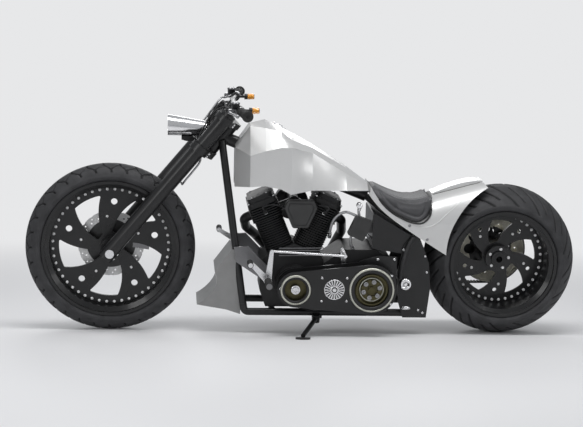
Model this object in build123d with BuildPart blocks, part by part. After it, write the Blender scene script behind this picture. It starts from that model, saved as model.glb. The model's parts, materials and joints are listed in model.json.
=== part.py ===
from build123d import *
from math import atan2, cos, hypot, radians, sin, sqrt, tan
import os

os.makedirs("parts", exist_ok=True)

# Stance: X forward from the rear axle, Y to the rider's left, Z up from the ground of an upright bike
LEAN = 7.5
MIDDLE_Y = 114.3
WHEELBASE = 1718.0
RAKE = 39.7
FORK_OFFSET = 52.0
FIT = 0.05
SEAT_GAP = 0.3

# Tyres and wheels
FRONT_TYRE_RADIUS = 370.0
FRONT_CROWN = 68.0
FRONT_BEAD = 292.0
FRONT_RIM_HALF = 52.0
REAR_TYRE_RADIUS = 333.5
REAR_CROWN = 190.0
REAR_BEAD = 229.0
REAR_RIM_HALF = 135.0
LIP = 5.0
WALL = 6.0
SPIDER_FACE = -14.6
SPIDER_THICK = 12.0
FRONT_BOLT_RING = 253.0
REAR_BOLT_RING = 195.0
SPOKES = 5
WINDOW_TIP = -44.0
WINDOW_BACK = -11.5
WINDOW_AHEAD = -56.0
WINDOW_BEHIND = -22.0
WINDOW_TOE = -66.0
WINDOW_HEEL = -36.0
DISC_OUTER = 146.0
DISC_INNER = 110.0
FRONT_AXLE_RADIUS = 12.5
REAR_AXLE_RADIUS = 22.0

# Fork
LEG_RADIUS = 33.0
LEG_SPREAD = 115.0
LOWER_CLAMP_AT = 578.0
UPPER_CLAMP_AT = 748.0
LEG_TOP_AT = 786.0
STEM_RADIUS = 16.0
NECK_RADIUS = 30.0

# Drive line
CRANK = (919.0, 238.0)
CLUTCH = (590.0, 240.0)
V_ANGLE = 45.0
BELT_Y = -187.0
BELT_WIDTH = 30.0
PULLEY_RADIUS = 152.0
OUTPUT_RADIUS = 66.0
PIVOT = (433.0, 249.0)
ARM_IN = -228.0
ARM_OUT = -254.0

# Frame
TUBE = 16.0
SPINE_TUBE = 27.0
RAIL_Y = 118.0
RAIL_Z = 111.0
RAIL_FRONT = WHEELBASE - 594
PLATE_IN = 138.0
PLATE_OUT = 146.0

lean = radians(LEAN)
rake = radians(RAKE)
front_axle_z = FRONT_TYRE_RADIUS - FRONT_CROWN + FRONT_CROWN / cos(lean)
rear_axle_z = REAR_TYRE_RADIUS - REAR_CROWN + REAR_CROWN / cos(lean)
front_hub = Vector(WHEELBASE, 0, front_axle_z)
rear_hub = Vector(0, 0, rear_axle_z)
fork_up = Vector(-sin(rake), 0, cos(rake))
fork_ahead = Vector(cos(rake), 0, sin(rake))
LEFT = Vector(0, 1, 0)
stem_foot = front_hub - fork_ahead * FORK_OFFSET
middle_x = (WHEELBASE + FRONT_TYRE_RADIUS - REAR_TYRE_RADIUS) / 2
parked = Location((-middle_x, -MIDDLE_Y, 0), (-LEAN, 0, 0))


def wheel_section(hub):
    """Plane through a wheel's axle: local x is the way to the left, local y the radius."""
    return Plane(origin=hub, x_dir=(0, 1, 0), z_dir=(1, 0, 0))


def wheel_face(hub, y):
    """Plane square to an axle at y, seen from the left: local x rearward, local y up."""
    return Plane(origin=(hub.X, y, hub.Z), x_dir=(-1, 0, 0), z_dir=(0, 1, 0))


def fork_plane(along, ahead=0.0, y=0.0):
    """Plane square to the fork at a height along it: local x ahead, local y to the left."""
    spot = front_hub + fork_up * along + fork_ahead * ahead + LEFT * y
    return Plane(origin=spot, x_dir=fork_ahead, z_dir=fork_up)


def side(y):
    """Side plane at y: local x is X, local y is Z, and its normal points right."""
    return Plane.XZ.offset(-y)


def bent_tube(points, radius, bend):
    """Round tube through the points, its corners on arcs of the bend radius."""
    with BuildPart() as tube:
        with BuildLine() as path:
            FilletPolyline(*points, radius=bend)
        with BuildSketch(path.line ^ 0):
            Circle(radius)
        sweep()
    return tube.part


def bar(start, end, radius):
    """Straight round bar from start to end."""
    way = Vector(end) - Vector(start)
    with BuildPart() as rod:
        with BuildSketch(Plane(origin=start, z_dir=way)):
            Circle(radius)
        extrude(amount=way.length)
    return rod.part


def turned(centre, y0, y1, radius):
    """Disc or boss on the lateral axis through centre, from y0 to y1."""
    return bar((centre[0], y0, centre[1]), (centre[0], y1, centre[1]), radius)


def slab(points, y0, y1, corner=0.0):
    """Side outline through the points, from y0 to y1, its upright edges rounded."""
    with BuildPart() as plate:
        with BuildSketch(side(max(y0, y1))):
            with BuildLine():
                Polyline(*points, close=True)
            make_face()
        extrude(amount=abs(y1 - y0))
        if corner:
            fillet(plate.edges().filter_by(Axis.Y), radius=corner)
    return plate.part


def belt_loop(a, ra, b, rb, y0, y1):
    """Solid stadium round two pulley centres, with straight flanks tangent to both."""
    way = atan2(b[1] - a[1], b[0] - a[0])
    span = hypot(b[0] - a[0], b[1] - a[1])
    tilt = (ra - rb) / span
    rise = sqrt(1 - tilt * tilt)
    flank = []
    for centre, radius, side_of in ((a, ra, 1), (b, rb, 1), (b, rb, -1), (a, ra, -1)):
        along = radius * tilt
        across = side_of * radius * rise
        flank.append(
            (
                centre[0] + along * cos(way) - across * sin(way),
                centre[1] + along * sin(way) + across * cos(way),
            )
        )
    with BuildPart() as loop:
        with BuildSketch(side(max(y0, y1))):
            with BuildLine():
                Polyline(*flank, close=True)
            make_face()
            with Locations(a):
                Circle(ra)
            with Locations(b):
                Circle(rb)
        extrude(amount=abs(y1 - y0))
    return loop.part


# Front tyre
front_shoulder = FRONT_CROWN - LIP
front_crown_mid = FRONT_TYRE_RADIUS - FRONT_CROWN
front_edge = front_crown_mid + sqrt(FRONT_CROWN**2 - front_shoulder**2)
front_bead_half = FRONT_RIM_HALF - 2
with BuildPart() as front_tyre:
    with BuildSketch(wheel_section(front_hub)):
        with BuildLine():
            ThreePointArc((-front_shoulder, front_edge), (0, FRONT_TYRE_RADIUS), (front_shoulder, front_edge))
            outer_wall = ThreePointArc(
                (front_shoulder, front_edge),
                (front_shoulder, front_crown_mid + LIP),
                (front_bead_half, front_crown_mid - 2),
            )
            Polyline(outer_wall @ 1, (front_bead_half, FRONT_BEAD), (0, FRONT_BEAD))
            mirror(outer_wall, about=Plane.YZ)
            Polyline(
                (-front_bead_half, front_crown_mid - 2), (-front_bead_half, FRONT_BEAD), (0, FRONT_BEAD)
            )
        make_face()
    revolve(axis=Axis(front_hub, LEFT))
front_tyre.part.label = "front_tyre"
front_tyre.part.locate(parked)
export_step(front_tyre.part, "parts/front_tyre.step")

# Rear tyre
rear_shoulder = 142.0
rear_crown_mid = REAR_TYRE_RADIUS - REAR_CROWN
rear_edge = rear_crown_mid + sqrt(REAR_CROWN**2 - rear_shoulder**2)
rear_bead_half = REAR_RIM_HALF - 2
with BuildPart() as rear_tyre:
    with BuildSketch(wheel_section(rear_hub)):
        with BuildLine():
            ThreePointArc((-rear_shoulder, rear_edge), (0, REAR_TYRE_RADIUS), (rear_shoulder, rear_edge))
            rear_wall = ThreePointArc(
                (rear_shoulder, rear_edge), (rear_shoulder + 8, REAR_BEAD + 27), (rear_bead_half, REAR_BEAD + 10)
            )
            Polyline(rear_wall @ 1, (rear_bead_half, REAR_BEAD), (0, REAR_BEAD))
            mirror(rear_wall, about=Plane.YZ)
            Polyline((-rear_bead_half, REAR_BEAD + 10), (-rear_bead_half, REAR_BEAD), (0, REAR_BEAD))
        make_face()
    revolve(axis=Axis(rear_hub, LEFT))
rear_tyre.part.label = "rear_tyre"
rear_tyre.part.locate(parked)
export_step(rear_tyre.part, "parts/rear_tyre.step")


def rim_profile(half, bead, drop, flange_in):
    """Rim section: lips, bead seats, a drop centre, and the flange that the spider bolts to."""
    flange = SPIDER_FACE - SPIDER_THICK
    return [
        (half + LIP, bead + 7),
        (half, bead + 7),
        (half, bead),
        (half - 16, bead),
        (half - 26, bead - drop),
        (26 - half, bead - drop),
        (16 - half, bead),
        (-half, bead),
        (-half, bead + 7),
        (-half - LIP, bead + 7),
        (-half - LIP, bead - WALL),
        (10 - half, bead - WALL),
        (22 - half, bead - drop - WALL),
        (flange - 10, bead - drop - WALL),
        (flange - 10, flange_in),
        (flange, flange_in),
        (flange, bead - drop - WALL),
        (half - 22, bead - drop - WALL),
        (half - 10, bead - WALL),
        (half + LIP, bead - WALL),
    ]


def on_face(radius, turn):
    """Point of a wheel's face at an angle from up, clockwise as seen from the left."""
    return (radius * sin(radians(turn)), radius * cos(radians(turn)))


def blade_window(inner, outer):
    """Gap between two curved blades: two swept edges that lean back, joined by an arc inside the rim."""
    middle = (inner + outer) / 2
    with BuildSketch() as window:
        with BuildLine():
            ahead = Spline(on_face(inner, WINDOW_TOE), on_face(middle, WINDOW_AHEAD), on_face(outer, WINDOW_TIP))
            behind = Spline(on_face(inner, WINDOW_HEEL), on_face(middle, WINDOW_BEHIND), on_face(outer, WINDOW_BACK))
            ThreePointArc(ahead @ 1, on_face(outer, (WINDOW_TIP + WINDOW_BACK) / 2), behind @ 1)
            ThreePointArc(ahead @ 0, on_face(inner - 4, (WINDOW_TOE + WINDOW_HEEL) / 2), behind @ 0)
        make_face()
        fillet(window.vertices(), radius=5)
    return window.sketch


def wheel_spider(hub, ring, bore, hub_radius, hub_left, hub_right, window, hole, turn):
    """Bladed spider with its hub: a disc with a window between blades and a hole in each."""
    with BuildPart() as spider:
        with BuildSketch(wheel_face(hub, SPIDER_FACE - SPIDER_THICK)):
            Circle(ring)
            with PolarLocations(0, SPOKES, start_angle=turn):
                add(window, mode=Mode.SUBTRACT)
        extrude(amount=SPIDER_THICK)
        with BuildSketch(wheel_face(hub, hub_right)):
            Circle(hub_radius)
        extrude(amount=hub_left - hub_right)
        with BuildSketch(wheel_face(hub, SPIDER_FACE)):
            with PolarLocations(hole[0], SPOKES, start_angle=turn + hole[1]):
                Circle(hole[2])
        extrude(amount=-SPIDER_THICK, mode=Mode.SUBTRACT)
        with BuildSketch(wheel_face(hub, hub_right)):
            Circle(bore)
        extrude(amount=hub_left - hub_right, mode=Mode.SUBTRACT)
    return spider.part


# Front wheel: rim and bladed spider
front_flange_in = FRONT_BOLT_RING - 12
with BuildPart() as front_rim:
    with BuildSketch(wheel_section(front_hub)):
        with BuildLine():
            Polyline(*rim_profile(FRONT_RIM_HALF, FRONT_BEAD, 20.0, front_flange_in), close=True)
        make_face()
    revolve(axis=Axis(front_hub, LEFT))
front_rim.part.label = "front_rim"
front_rim.part.locate(parked)
export_step(front_rim.part, "parts/front_rim.step")

front_spider = wheel_spider(
    front_hub, 265.5, FRONT_AXLE_RADIUS + FIT, 44, 62, -62, blade_window(62, 226), (197, 86, 14), 0
)
front_spider.label = "front_spider"
front_spider.locate(parked)
export_step(front_spider, "parts/front_spider.step")

# Rear wheel: rim and bladed spider, whose hub reaches the pulley
pulley_right = BELT_Y - BELT_WIDTH / 2 - 2
pulley_left = BELT_Y + BELT_WIDTH / 2 + 2
rear_flange_in = REAR_BOLT_RING - 11
with BuildPart() as rear_rim:
    with BuildSketch(wheel_section(rear_hub)):
        with BuildLine():
            Polyline(*rim_profile(REAR_RIM_HALF, REAR_BEAD, 17.0, rear_flange_in), close=True)
        make_face()
    revolve(axis=Axis(rear_hub, LEFT))
rear_rim.part.label = "rear_rim"
rear_rim.part.locate(parked)
export_step(rear_rim.part, "parts/rear_rim.step")

rear_spider = wheel_spider(
    rear_hub, 205.5, REAR_AXLE_RADIUS + FIT, 58, 20, pulley_left, blade_window(72, 170), (150, 86, 9), -34
)
rear_spider.label = "rear_spider"
rear_spider.locate(parked)
export_step(rear_spider, "parts/rear_spider.step")

# Front brake disc
with BuildPart() as front_disc:
    with BuildSketch(wheel_face(front_hub, -62)):
        Circle(DISC_OUTER)
        Circle(FRONT_AXLE_RADIUS + 8, mode=Mode.SUBTRACT)
        with PolarLocations(DISC_OUTER + 14, 20):
            Circle(16, mode=Mode.SUBTRACT)
        with PolarLocations(83, 6):
            SlotArc(CenterArc((0, 0), 83, -19, 38), 30, mode=Mode.SUBTRACT)
        with PolarLocations(122, 20, start_angle=9):
            Circle(4, mode=Mode.SUBTRACT)
        with PolarLocations(134, 20, start_angle=3):
            Circle(3.5, mode=Mode.SUBTRACT)
    extrude(amount=-5)
front_disc.part.label = "front_disc"
front_disc.part.locate(parked)
export_step(front_disc.part, "parts/front_disc.step")

# Rear pulley with its brake disc
with BuildPart() as rear_pulley:
    with BuildSketch(wheel_face(rear_hub, pulley_right)):
        Circle(PULLEY_RADIUS)
        Circle(REAR_AXLE_RADIUS + 4, mode=Mode.SUBTRACT)
    extrude(amount=pulley_left - pulley_right)
    with BuildSketch(wheel_face(rear_hub, pulley_right)):
        Circle(PULLEY_RADIUS - 10)
        Circle(46, mode=Mode.SUBTRACT)
    extrude(amount=12, mode=Mode.SUBTRACT)
    with BuildSketch(wheel_face(rear_hub, pulley_left)):
        Circle(PULLEY_RADIUS - 10)
        Circle(46, mode=Mode.SUBTRACT)
    extrude(amount=-12, mode=Mode.SUBTRACT)
    with BuildSketch(wheel_face(rear_hub, pulley_right)):
        with PolarLocations(98, 10):
            Circle(24)
    extrude(amount=pulley_left - pulley_right, mode=Mode.SUBTRACT)
    with BuildSketch(wheel_face(rear_hub, pulley_right)):
        Circle(46)
        Circle(REAR_AXLE_RADIUS + 4, mode=Mode.SUBTRACT)
    extrude(amount=-8)
    with BuildSketch(wheel_face(rear_hub, pulley_right - 13)):
        Circle(140)
        Circle(REAR_AXLE_RADIUS + 4, mode=Mode.SUBTRACT)
        with PolarLocations(75, 8):
            Circle(18, mode=Mode.SUBTRACT)
        with PolarLocations(118, 30):
            Circle(4, mode=Mode.SUBTRACT)
    extrude(amount=5)
rear_pulley.part.label = "rear_pulley"
rear_pulley.part.locate(parked)
export_step(rear_pulley.part, "parts/rear_pulley.step")

# Axles
axle_half = LEG_SPREAD + LEG_RADIUS + 12
with BuildPart() as front_axle:
    with BuildSketch(wheel_face(front_hub, -axle_half)):
        Circle(FRONT_AXLE_RADIUS)
    extrude(amount=2 * axle_half)
    with BuildSketch(wheel_face(front_hub, LEG_SPREAD + LEG_RADIUS + 4)):
        Circle(19)
    extrude(amount=10)
    with BuildSketch(wheel_face(front_hub, -LEG_SPREAD - LEG_RADIUS - 4)):
        Circle(19)
    extrude(amount=-10)
front_axle.part.label = "front_axle"
front_axle.part.locate(parked)
export_step(front_axle.part, "parts/front_axle.step")

with BuildPart() as rear_axle:
    with BuildSketch(wheel_face(rear_hub, ARM_OUT - 14)):
        Circle(REAR_AXLE_RADIUS)
        Circle(14, mode=Mode.SUBTRACT)
    extrude(amount=20 + 14 - ARM_OUT + 14)
    with BuildSketch(wheel_face(rear_hub, ARM_OUT)):
        Circle(34)
        Circle(14, mode=Mode.SUBTRACT)
    extrude(amount=-12)
    with BuildSketch(wheel_face(rear_hub, 20.3)):
        Circle(34)
        Circle(14, mode=Mode.SUBTRACT)
    extrude(amount=12)
rear_axle.part.label = "rear_axle"
rear_axle.part.locate(parked)
export_step(rear_axle.part, "parts/rear_axle.step")

# Fork legs
with BuildPart() as fork_legs:
    for y in (LEG_SPREAD, -LEG_SPREAD):
        with BuildSketch(fork_plane(-34, 0, y)):
            Circle(LEG_RADIUS)
        extrude(amount=LEG_TOP_AT + 34)
    with BuildSketch(wheel_face(front_hub, -axle_half)):
        Circle(FRONT_AXLE_RADIUS)
    extrude(amount=2 * axle_half, mode=Mode.SUBTRACT)
fork_legs.part.label = "fork_legs"
fork_legs.part.locate(parked)
export_step(fork_legs.part, "parts/fork_legs.step")


def clamp_block(along, thick):
    """Fork clamp: a web over both legs and the stem, bored for the legs."""
    with BuildPart() as clamp:
        with BuildSketch(fork_plane(along)):
            with BuildLine():
                Polyline(
                    (28, LEG_SPREAD),
                    (28, -LEG_SPREAD),
                    (-20, -LEG_SPREAD - 20),
                    (-FORK_OFFSET - 26, -30),
                    (-FORK_OFFSET - 26, 30),
                    (-20, LEG_SPREAD + 20),
                    close=True,
                )
            make_face()
            with Locations((0, LEG_SPREAD), (0, -LEG_SPREAD)):
                Circle(LEG_RADIUS + 11)
            with Locations((-FORK_OFFSET, 0)):
                Circle(34)
            with Locations((0, LEG_SPREAD), (0, -LEG_SPREAD)):
                Circle(LEG_RADIUS, mode=Mode.SUBTRACT)
        extrude(amount=thick)
    return clamp.part


LOWER_THICK = 34.0
UPPER_THICK = 26.0
stem_from = LOWER_CLAMP_AT + LOWER_THICK
stem_to = UPPER_CLAMP_AT + UPPER_THICK
lower_block = clamp_block(LOWER_CLAMP_AT, LOWER_THICK)
upper_block = clamp_block(UPPER_CLAMP_AT, UPPER_THICK)

# Lower clamp with the steering stem and the headlight's bracket
LAMP_RADIUS = 46.0
LAMP_TAIL_RADIUS = 31.0
LAMP_FRONT = WHEELBASE - 243
LAMP_BACK = WHEELBASE - 418
LAMP_Z = 912.0
lamp_low = LAMP_Z - LAMP_RADIUS
bracket_from = front_hub + fork_up * (LOWER_CLAMP_AT + LOWER_THICK / 2) + fork_ahead * 26
with BuildPart() as lower_clamp:
    add(lower_block)
    with BuildSketch(fork_plane(LOWER_CLAMP_AT, -FORK_OFFSET)):
        Circle(STEM_RADIUS)
    extrude(amount=stem_to - LOWER_CLAMP_AT)
    with BuildSketch(side(18)):
        with BuildLine():
            Polyline(
                (bracket_from.X, bracket_from.Z),
                (bracket_from.X + 36, lamp_low - 22),
                (LAMP_FRONT - 60, lamp_low - 16),
                (LAMP_FRONT - 60, lamp_low - SEAT_GAP),
                (bracket_from.X + 10, lamp_low - SEAT_GAP),
                (bracket_from.X - 8, bracket_from.Z + 10),
                close=True,
            )
        make_face()
    extrude(amount=36)
lower_clamp.part.label = "lower_clamp"
lower_clamp.part.locate(parked)
export_step(lower_clamp.part, "parts/lower_clamp.step")

# Upper clamp
with BuildPart() as upper_clamp:
    add(upper_block)
    with BuildSketch(fork_plane(UPPER_CLAMP_AT, -FORK_OFFSET)):
        Circle(STEM_RADIUS)
    extrude(amount=UPPER_THICK, mode=Mode.SUBTRACT)
upper_clamp.part.label = "upper_clamp"
upper_clamp.part.locate(parked)
export_step(upper_clamp.part, "parts/upper_clamp.step")

# Handlebar on two risers
BAR_RADIUS = 12.7
BAR_CENTRE = (WHEELBASE - 526, 1006.0)
BAR_END = (WHEELBASE - 568, 1010.0)
GRIP_END_Y = 398.0
GRIP_LENGTH = 128.0
GRIP_RADIUS = 18.0
bar_path = [
    (BAR_END[0], GRIP_END_Y, BAR_END[1]),
    (BAR_CENTRE[0], 118, BAR_CENTRE[1] + 4),
    (BAR_CENTRE[0], -118, BAR_CENTRE[1] + 4),
    (BAR_END[0], -GRIP_END_Y, BAR_END[1]),
]
bar_tube = bent_tube(bar_path, BAR_RADIUS, 120)
bar_trim = bent_tube(bar_path, BAR_RADIUS + SEAT_GAP, 120)
bar_along = (WHEELBASE - BAR_CENTRE[0]) * sin(rake) + (BAR_CENTRE[1] + 4 - front_axle_z) * cos(rake)
bar_ahead = (BAR_CENTRE[0] - WHEELBASE) * cos(rake) + (BAR_CENTRE[1] + 4 - front_axle_z) * sin(rake)
with BuildPart() as handlebar:
    for y in (48, -48):
        with BuildSketch(fork_plane(UPPER_CLAMP_AT + UPPER_THICK, bar_ahead, y)):
            Circle(16)
        extrude(amount=bar_along - UPPER_CLAMP_AT - UPPER_THICK)
    add(bar_tube)
handlebar.part.label = "handlebar"
handlebar.part.locate(parked)
export_step(handlebar.part, "parts/handlebar.step")

# Grips
grip_way = Vector(BAR_END[0] - BAR_CENTRE[0], GRIP_END_Y - 118, BAR_END[1] - BAR_CENTRE[1] - 4).normalized()
with BuildPart() as grips:
    for hand in (1, -1):
        way = Vector(grip_way.X, grip_way.Y * hand, grip_way.Z)
        end = Vector(BAR_END[0], GRIP_END_Y * hand, BAR_END[1])
        with BuildSketch(Plane(origin=end - way * GRIP_LENGTH, z_dir=way)):
            Circle(GRIP_RADIUS)
            Circle(BAR_RADIUS + FIT, mode=Mode.SUBTRACT)
        extrude(amount=GRIP_LENGTH)
        with BuildSketch(Plane(origin=end, z_dir=way)):
            Circle(GRIP_RADIUS + 5)
        extrude(amount=12)
grips.part.label = "grips"
grips.part.locate(parked)
export_step(grips.part, "parts/grips.step")

# Clutch and brake levers on their perches
LEVER_REACH = 150.0
LEVER_THICK = 5.5
PERCH_WIDTH = 18.0
PERCH_HALF_HEIGHT = 10.0
MIRROR_HOLE = 5.0
MIRROR_DEPTH = 14.0
perch_at = GRIP_LENGTH + 22
with BuildPart() as levers:
    for hand in (1, -1):
        way = Vector(grip_way.X, grip_way.Y * hand, grip_way.Z)
        end = Vector(BAR_END[0], GRIP_END_Y * hand, BAR_END[1])
        inner = end - way * perch_at
        lever_plane = Plane(origin=inner, x_dir=(1, 0, 0), z_dir=way)
        with BuildSketch(lever_plane):
            Circle(BAR_RADIUS + 6)
            Circle(BAR_RADIUS + FIT, mode=Mode.SUBTRACT)
        extrude(amount=PERCH_WIDTH)
        with BuildSketch(lever_plane):
            with Locations((BAR_RADIUS + 22, 0)):
                RectangleRounded(36, 2 * PERCH_HALF_HEIGHT, 6)
        extrude(amount=PERCH_WIDTH)
        perch_mid = inner + way * PERCH_WIDTH / 2
        lever_tip = perch_mid + Vector(42, 0, 0) + way * LEVER_REACH
        blade = [perch_mid + Vector(24, 0, 0), perch_mid + Vector(54, 0, 0) + way * 36, lever_tip]
        add(bent_tube(blade, LEVER_THICK, 22))
        with Locations(lever_tip):
            Sphere(LEVER_THICK + 2.5)
        hole_mouth = perch_mid + lever_plane.x_dir * 26 + Vector(0, 0, PERCH_HALF_HEIGHT)
        with BuildSketch(Plane(origin=hole_mouth, z_dir=(0, 0, -1))):
            Circle(MIRROR_HOLE)
        extrude(amount=MIRROR_DEPTH, mode=Mode.SUBTRACT)
levers.part.label = "levers"
levers.part.locate(parked)
export_step(levers.part, "parts/levers.step")

# Headlight
lamp_face = Plane(origin=(LAMP_FRONT, 0, LAMP_Z), x_dir=(0, 1, 0), z_dir=(1, 0, 0))
with BuildPart() as headlight:
    with BuildSketch(lamp_face):
        Circle(LAMP_RADIUS)
    with BuildSketch(Plane(origin=(LAMP_BACK, 0, lamp_low + LAMP_TAIL_RADIUS), x_dir=(0, 1, 0), z_dir=(1, 0, 0))):
        Circle(LAMP_TAIL_RADIUS)
    loft(ruled=True)
    fillet(headlight.faces().sort_by(Axis.X)[0].edges(), radius=14)
    with BuildSketch(lamp_face):
        Circle(LAMP_RADIUS - 4)
    extrude(amount=-12, mode=Mode.SUBTRACT)
headlight.part.label = "headlight"
headlight.part.locate(parked)
export_step(headlight.part, "parts/headlight.step")

# Front caliper on the right fork leg
with BuildPart() as front_caliper:
    caliper_face = Plane(origin=(WHEELBASE, -44, front_axle_z), x_dir=(-1, 0, 0), z_dir=(0, 1, 0))
    with BuildSketch(caliper_face):
        with BuildLine():
            outer_arc = CenterArc((0, 0), 168, -8, 56)
            inner_arc = CenterArc((0, 0), 96, -8, 56)
            Line(outer_arc @ 0, inner_arc @ 0)
            Line(outer_arc @ 1, inner_arc @ 1)
        make_face()
    extrude(amount=44 - LEG_SPREAD + LEG_RADIUS + SEAT_GAP)
    with BuildSketch(Plane(origin=(WHEELBASE, -60, front_axle_z), x_dir=(-1, 0, 0), z_dir=(0, 1, 0))):
        Circle(152)
    extrude(amount=-9, mode=Mode.SUBTRACT)
front_caliper.part.label = "front_caliper"
front_caliper.part.locate(parked)
export_step(front_caliper.part, "parts/front_caliper.step")

# Frame spine: steering neck, backbone and the two rails under the seat
neck_low = stem_foot + fork_up * (LOWER_CLAMP_AT + LOWER_THICK + SEAT_GAP)
neck_high = stem_foot + fork_up * (UPPER_CLAMP_AT - SEAT_GAP)
neck_mid = (neck_low + neck_high) * 0.5
SPINE_REAR = (602.0, 612.0)
SEAT_RAIL_END = (404.0, 484.0)
SEAT_TIE_RADIUS = 10.0
seat_tie = (SEAT_RAIL_END[0] - 6, SEAT_RAIL_END[1])
neck_solid = bar(neck_low, neck_high, NECK_RADIUS)
backbone = bar((neck_mid.X - 14, 0, neck_mid.Z), (SPINE_REAR[0], 0, SPINE_REAR[1]), SPINE_TUBE)
seat_rail_tubes = [
    bent_tube(
        [(SPINE_REAR[0] + 6, y * 0.1, SPINE_REAR[1]), (540, y, 563), (SEAT_RAIL_END[0], y, SEAT_RAIL_END[1])],
        12.5,
        60,
    )
    for y in (96, -96)
]
backbone_trim = bar((neck_mid.X - 14, 0, neck_mid.Z), (SPINE_REAR[0], 0, SPINE_REAR[1]), SPINE_TUBE + 0.1)
with BuildPart() as frame_spine:
    add(neck_solid)
    add(backbone)
    add(seat_rail_tubes)
    add(turned(seat_tie, -146, 146, SEAT_TIE_RADIUS))
    with BuildSketch(Plane(origin=neck_low, z_dir=fork_up)):
        Circle(STEM_RADIUS + FIT)
    extrude(amount=(neck_high - neck_low).length, mode=Mode.SUBTRACT)
frame_spine.part.label = "frame_spine"
frame_spine.part.locate(parked)
export_step(frame_spine.part, "parts/frame_spine.step")
# Downtubes
FRAME_JOINT_Z = 150.0
down_lines = [((RAIL_FRONT + 116, y * 0.22, 850), (RAIL_FRONT + 14, y, 140)) for y in (RAIL_Y, -RAIL_Y)]
down_tubes = [bar(top, foot, TUBE) for top, foot in down_lines]
neck_trim = bar(neck_low - fork_up * 60, neck_high, NECK_RADIUS + 0.1)
with BuildPart() as frame_downtubes:
    add(down_tubes)
    add(neck_trim, mode=Mode.SUBTRACT)
    add(backbone_trim, mode=Mode.SUBTRACT)
    split(bisect_by=Plane.XY.offset(FRAME_JOINT_Z), keep=Keep.TOP)
frame_downtubes.part.label = "frame_downtubes"
frame_downtubes.part.locate(parked)
export_step(frame_downtubes.part, "parts/frame_downtubes.step")

# Frame levels that the castings and the cross tubes share
TIE = 14.0
LOWER_TIE = (400.0, 112.0)
CASE_FLOOR = 128.0
BOX_FLOOR = 150.0

# Rear frame plates, which carry the swing arm's pivot, with their cross tubes
plate_outline = [
    (384, 471.5),
    (354, 400),
    (332, 340),
    (322, 232),
    (336, 96),
    (440, 96),
    (462, 168),
    (470, 300),
    (444, 420),
    (404, 471.5),
    (418, 440),
]
plates = [slab(plate_outline, y0, y1) for y0, y1 in ((PLATE_IN, PLATE_OUT), (-PLATE_OUT, -PLATE_IN))]
plate_ties = [
    turned((380, 430), -PLATE_IN, PLATE_IN, 12),
    turned(LOWER_TIE, -PLATE_IN, PLATE_IN, TIE),
]
with BuildPart() as rear_plates:
    add(plates)
    add(plate_ties)
    with BuildSketch(side(PLATE_OUT)):
        with Locations(PIVOT):
            Circle(22)
    extrude(amount=2 * PLATE_OUT, mode=Mode.SUBTRACT)
rear_plates.part.label = "rear_plates"
rear_plates.part.locate(parked)
export_step(rear_plates.part, "parts/rear_plates.step")

# Single-sided swing arm on the right
pivot_shaft = turned(PIVOT, ARM_OUT, PLATE_OUT + 16, 22)
arm_axle = (0.0, rear_axle_z)
arm_loop = belt_loop(PIVOT, 44, arm_axle, 58, ARM_IN, ARM_OUT)
arm_pocket = belt_loop(
    (PIVOT[0] - 78, PIVOT[1] + 15), 24, (90.0, rear_axle_z - 17), 32, ARM_OUT, ARM_OUT + 8
)
with BuildPart() as swing_arm:
    add(arm_loop)
    add(arm_pocket, mode=Mode.SUBTRACT)
    add(pivot_shaft)
    with BuildSketch(wheel_face(rear_hub, ARM_OUT)):
        Circle(REAR_AXLE_RADIUS)
    extrude(amount=ARM_IN - ARM_OUT, mode=Mode.SUBTRACT)
swing_arm.part.label = "swing_arm"
swing_arm.part.locate(parked)
export_step(swing_arm.part, "parts/swing_arm.step")


def tank_station(x, top, crease, ridge, low):
    """Half outline of the tank at x, from the top centre down to the flat floor."""
    with BuildSketch(Plane.YZ.offset(x)) as station:
        with BuildLine():
            Polyline(
                (0, top),
                crease,
                ridge,
                low,
                (-low[0], low[1]),
                (-ridge[0], ridge[1]),
                (-crease[0], crease[1]),
                close=True,
            )
        make_face()
    return station.sketch


# Tank: faceted shell solid, notched for the neck and slotted over the backbone
tank_stations = [
    tank_station(RAIL_FRONT + 59, 839, (34, 836), (66, 828), (66, 655)),
    tank_station(RAIL_FRONT - 4, 926, (60, 920), (140, 803), (146, 668)),
    tank_station(RAIL_FRONT - 69, 943, (84, 916), (150, 826), (152, 674)),
    tank_station(RAIL_FRONT - 136, 910, (96, 903), (152, 842), (152, 662)),
    tank_station(RAIL_FRONT - 182, 889, (92, 868), (150, 842), (150, 638)),
    tank_station(850, 838, (58, 830), (98, 812), (147, 657)),
    tank_station(700, 746, (40, 742), (80, 722), (138, 656)),
    tank_station(602, 674, (30, 672), (60, 664), (98, 650)),
]
spine_rise = atan2(neck_mid.Z - SPINE_REAR[1], neck_mid.X - 14 - SPINE_REAR[0])
TUNNEL = SPINE_TUBE + 0.5
with BuildPart() as tank:
    for station in tank_stations:
        add(station)
    loft(ruled=True)
    with BuildSketch(side(TUNNEL)):
        with BuildLine():
            tunnel_z = SPINE_REAR[1] + TUNNEL / cos(spine_rise)
            Polyline(
                (SPINE_REAR[0] - 200, tunnel_z - 200 * tan(spine_rise)),
                (SPINE_REAR[0] + 700, tunnel_z + 700 * tan(spine_rise)),
                (SPINE_REAR[0] + 700, 600),
                (SPINE_REAR[0] - 200, 400),
                close=True,
            )
        make_face()
    extrude(amount=2 * TUNNEL, mode=Mode.SUBTRACT)
    with BuildSketch(Plane(origin=stem_foot + fork_up * 500, x_dir=fork_ahead, z_dir=fork_up)):
        Circle(NECK_RADIUS + 22)
    extrude(amount=400, mode=Mode.SUBTRACT)
tank.part.label = "tank"
tank.part.locate(parked)
export_step(tank.part, "parts/tank.step")

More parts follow.
